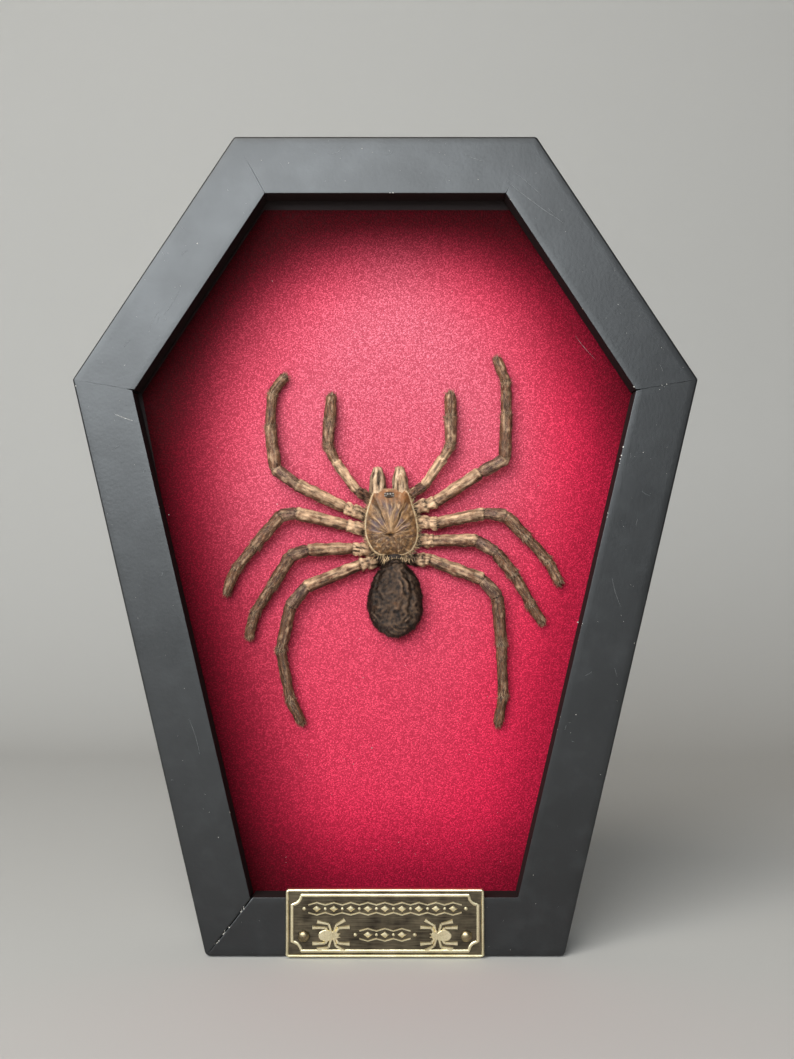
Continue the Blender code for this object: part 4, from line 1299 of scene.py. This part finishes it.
    # Stray bristles from under the margin stand between the hips
    hairs = 1100
    pick = rng.choice(len(outline), hairs, p=sides[0] / sides[0].sum())
    spot = outline[pick] * rng.uniform(0.86, 0.97, hairs)[:, None]
    away = np.stack([spot[:, 0], np.full(hairs, -1.0), spot[:, 1]], -1)
    grow_hair(
        "hip_bristles",
        np.stack(
            [
                SPIDER_X + spot[:, 0] * MM - SHIELD_SHIFT,
                SHEET_Y - rng.uniform(0.8, 3.0, hairs) * MM,
                SPIDER_Z + spot[:, 1] * MM,
            ],
            -1,
        ),
        np.array([0, -1.0, 0]) + rng.normal(0, 0.1, (hairs, 3)),
        unit(away) + rng.normal(0, 0.45, (hairs, 3)),
        rng.uniform(0.0, 0.8, hairs),
        rng.uniform(1.0, 2.6, hairs),
        rng.uniform(0.06, 0.1, hairs),
        np.where(rng.random(hairs) < 0.55, rng.uniform(0, 0.2, hairs), rng.uniform(0.5, 0.95, hairs)),
        SHIELD_HAIR,
    )


add_carapace()


def round_bead(x, y, z, radius):
    """A bead that faces the front. Returns points and faces."""
    profile = [
        (radius * math.sin(turn), y - radius * math.cos(turn))
        for turn in np.linspace(0.06, math.pi - 0.06, 14)
    ]
    return turned_on_y(x, z, profile, 22)


EYE_X, EYE_Z = SPIDER_X - 1.0 * MM, SPIDER_Z + 10.2 * MM
EYE_Y = SHEET_Y - 4.75 * MM
mound, mound_faces = raised_lobe(EYE_X, EYE_Z, 1.5 * MM, 1.0 * MM, EYE_Y + 1.2 * MM, EYE_Y - 0.35 * MM, 40)
build_piece(
    "eye_mound", mound, mound_faces, ABDOMEN_SKIN, "carapace", marks={"ridge": np.full(len(mound), 0.25)}
)
# Eyes on one half of the mound: right, up and radius in mm
EYES = ((0.36, 0.28, 0.3), (1.0, 0.35, 0.24), (0.72, -0.2, 0.17), (1.1, -0.22, 0.2))
beads = []
for right, up, radius in EYES:
    rise = 0.3 - 0.28 * (right / 1.2) ** 2 - 0.2 * up**2
    for side in (-1, 1):
        place = EYE_X + side * right * MM, EYE_Y - rise * MM, EYE_Z + up * MM
        beads.append(round_bead(*place, radius * MM))
build_piece("eyes", *gather(beads), EYE_LENS, "carapace")


# ---------------------------------------------------------------- abdomen and waist


def add_abdomen():
    """The abdomen, dried into swirling folds, dark at its rim, with velvety hair."""
    rows, sides = 150, 150
    rise = -np.cos(np.linspace(0.03, math.pi - 0.03, rows))
    turn = np.arange(sides) * 2 * math.pi / sides
    ring = np.sqrt(1 - rise**2)[:, None]
    width = 7.0 * (1 - 0.17 * rise - 0.05 * rise**2)[:, None]
    right = 0.5 + width * ring * np.sin(turn)
    thick = 3.3 * ring**0.85 * np.cos(turn)
    up = np.broadcast_to(-16.3 + 10.0 * rise[:, None], right.shape)
    grid = np.stack([SPIDER_X + right * MM, SHEET_Y - (3.75 + thick) * MM, SPIDER_Z + up * MM], -1)
    normals = grid_normals(grid)[0]
    middle_x, middle_z = (right - 0.9) / 7, (up + 17.2) / 10
    drift = 1.8 * ripple(grid, 6.5, 1) + 0.9 * ripple(grid, 2.6, 2)
    fold = 0.5 + 0.5 * np.sin(2 * math.pi * (2.8 * np.hypot(middle_x, middle_z) + drift))
    fold = 0.5 + (fold - 0.5) * smooth_step(-0.35, 0.35, ripple(grid, 3.4, 8))
    pucker = 0.5 + 0.5 * np.sin(2 * math.pi * (2.0 * ripple(grid, 3.2, 6) + 0.8 * middle_x))
    lumps = ripple(grid, 3.6, 12)
    fine = ripple(grid, 0.7, 5)
    grid = grid + normals * (0.3 * fold + 0.22 * pucker + 0.32 * lumps + 0.12 * fine - 0.35)[..., None] * MM
    grid[..., 1] = np.minimum(grid[..., 1], CARD_TOUCH)
    normals, area = grid_normals(grid)
    facing = smooth_step(0.4, 0.97, -normals[..., 1])
    grit = ripple(grid, 0.9, 15)
    worn = 0.7 + 0.55 * smooth_step(-0.5, 0.5, ripple(grid, 4.5, 19))
    # Paler where the skin faces the front, darker down the sides; paler on the fold crests and near black in
    # the folds, which is painted light and shade
    ridge = (0.1 + 0.9 * facing) * worn
    ridge *= 0.08 + 0.45 * fold**1.5 + 0.3 * pucker * fold + 0.42 * fine + 0.3 * grit
    build_piece(
        "abdomen_skin", grid.reshape(-1, 3), skin_faces(rows, sides), ABDOMEN_SKIN, "abdomen",
        stands_for=["abdomen"], sharp=80, marks={"ridge": np.clip(ridge, 0, 1).ravel()},
    )
    backward = np.broadcast_to(np.array([0, 0, -1.0]), grid.shape)
    hairs = 15000
    row, column = scatter(
        area * (0.1 + 0.9 * smooth_step(-0.4, 0.1, -normals[..., 1])) * (1.06 - facing), hairs
    )
    # The velvet takes the skin's painted light and shade
    tone = 0.05 + 0.3 * ridge
    grow_hair(
        "abdomen_velvet", read_grid(grid, row, column), unit(read_grid(normals, row, column)),
        read_grid(backward, row, column) + rng.normal(0, 0.35, (hairs, 3)), rng.uniform(0.2, 0.9, hairs),
        rng.uniform(0.4, 1.1, hairs), rng.uniform(0.05, 0.08, hairs),
        read_grid(tone, row, column) + rng.uniform(-0.05, 0.12, hairs), DARK_HAIR,
    )
    hairs = 500
    row, column = scatter(area * smooth_step(0.0, 0.5, -normals[..., 1]), hairs)
    grow_hair(
        "abdomen_bristles", read_grid(grid, row, column), unit(read_grid(normals, row, column)),
        read_grid(backward, row, column) + rng.normal(0, 0.5, (hairs, 3)), rng.uniform(0.3, 0.9, hairs),
        rng.uniform(0.7, 1.5, hairs), rng.uniform(0.04, 0.06, hairs), rng.uniform(0.3, 0.95, hairs) ** 1.5,
        DARK_HAIR,
    )


add_abdomen()

waist = raised_lobe(
    SPIDER_X + 0.7 * MM, SPIDER_Z - 6.2 * MM, 2.6 * MM, 2.4 * MM, SHEET_Y - 0.6 * MM, SHEET_Y - 3.9 * MM, 40
)
build_piece("waist", *waist, ABDOMEN_SKIN, "abdomen", marks={"ridge": np.full(len(waist[0]), 0.05)})
count = 130
roots = np.stack(
    [
        SPIDER_X + rng.normal(0.7, 2.2, count) * MM,
        SHEET_Y - rng.uniform(3.2, 4.2, count) * MM,
        SPIDER_Z + rng.uniform(-6.6, -5.4, count) * MM,
    ],
    -1,
)
grow_hair(
    "waist_bristles", roots,
    np.broadcast_to(np.array([0, -1.0, 0]), roots.shape) + rng.normal(0, 0.1, roots.shape),
    np.broadcast_to(np.array([0, 0, -1.0]), roots.shape) + rng.normal(0, 0.45, roots.shape),
    rng.uniform(0.0, 0.6, count), rng.uniform(0.9, 2.0, count), rng.uniform(0.06, 0.1, count),
    rng.uniform(0.0, 1.0, count), SHIELD_HAIR,
)


# ---------------------------------------------------------------- floor, light and camera


def add_stage():
    """A pale paper sweep: floor in front, curving up behind."""
    material, tree, shader = start_material("pale_paper", Base_Color=linear("c2c0bc"), Roughness=0.9)
    place = node(tree, "TexCoord", give="Object")
    tooth = node(tree, "TexNoise", {"Vector": place, "Scale": per(2), "Detail": 3.0})
    relief = node(tree, "Bump", {"Height": tooth, "Strength": 0.1, "Distance": 0.05 * MM})
    finish_material(material, shader, Normal=relief)
    bend = np.linspace(0, math.pi / 2, 16)
    depth = np.concatenate([[-4], 0.35 + 0.25 * np.sin(bend), [0.6]])
    rise = np.concatenate([[0], 0.25 - 0.25 * np.cos(bend), [1.4]])
    rows = [[(x, y, z - 0.0002) for y, z in zip(depth, rise)] for x in (-4, 4)]
    mesh = bpy.data.meshes.new("paper_sweep")
    count = len(depth)
    faces = [[i, i + count, i + count + 1, i + 1] for i in range(count - 1)]
    mesh.from_pydata(rows[0] + rows[1], [], faces)
    mesh.materials.append(material)
    mesh.shade_smooth()
    sweep = bpy.data.objects.new("paper_sweep", mesh)
    bpy.context.scene.collection.objects.link(sweep)


def add_light(name, place, aim, width, height, watts, colour="ffffff"):
    """A soft panel light that shines from place towards aim."""
    light = bpy.data.lights.new(name, "AREA")
    light.shape = "RECTANGLE"
    light.size = width
    light.size_y = height
    light.energy = watts
    light.color = linear(colour)[:3]
    panel = bpy.data.objects.new(name, light)
    panel.location = place
    panel.rotation_euler = (Vector(aim) - Vector(place)).to_track_quat("-Z", "Y").to_euler()
    bpy.context.scene.collection.objects.link(panel)


add_stage()
MIDDLE = (0, 0, HEIGHT / 2)
add_light(
    "window_panel", (-0.35, -0.985, 0.45), MIDDLE, width=1.1, height=0.44, watts=16.5, colour="eef6fb"
)
add_light("sky_panel", (-0.34, -0.7, 0.92), MIDDLE, width=0.8, height=0.6, watts=6.2, colour="fff6ea")
add_light("back_panel", (0.5, 1.0, 0.9), MIDDLE, width=0.8, height=0.8, watts=6)

world = bpy.data.worlds.new("pale_room")
world.use_nodes = True
world.node_tree.nodes["Background"].inputs["Color"].default_value = linear("eef0f2")
world.node_tree.nodes["Background"].inputs["Strength"].default_value = 0.08
bpy.context.scene.world = world
bpy.context.scene.view_settings.view_transform = "Standard"

lens = bpy.data.cameras.new("camera")
lens.lens = 44.19
lens.sensor_width = 36
camera = bpy.data.objects.new("camera", lens)
camera.location = Vector((3.17, -344.5, 96.6)) * MM
aim = Vector((3.03, -12, 108.2)) * MM
camera.rotation_euler = (aim - camera.location).to_track_quat("-Z", "Y").to_euler()
bpy.context.scene.collection.objects.link(camera)
bpy.context.scene.camera = camera
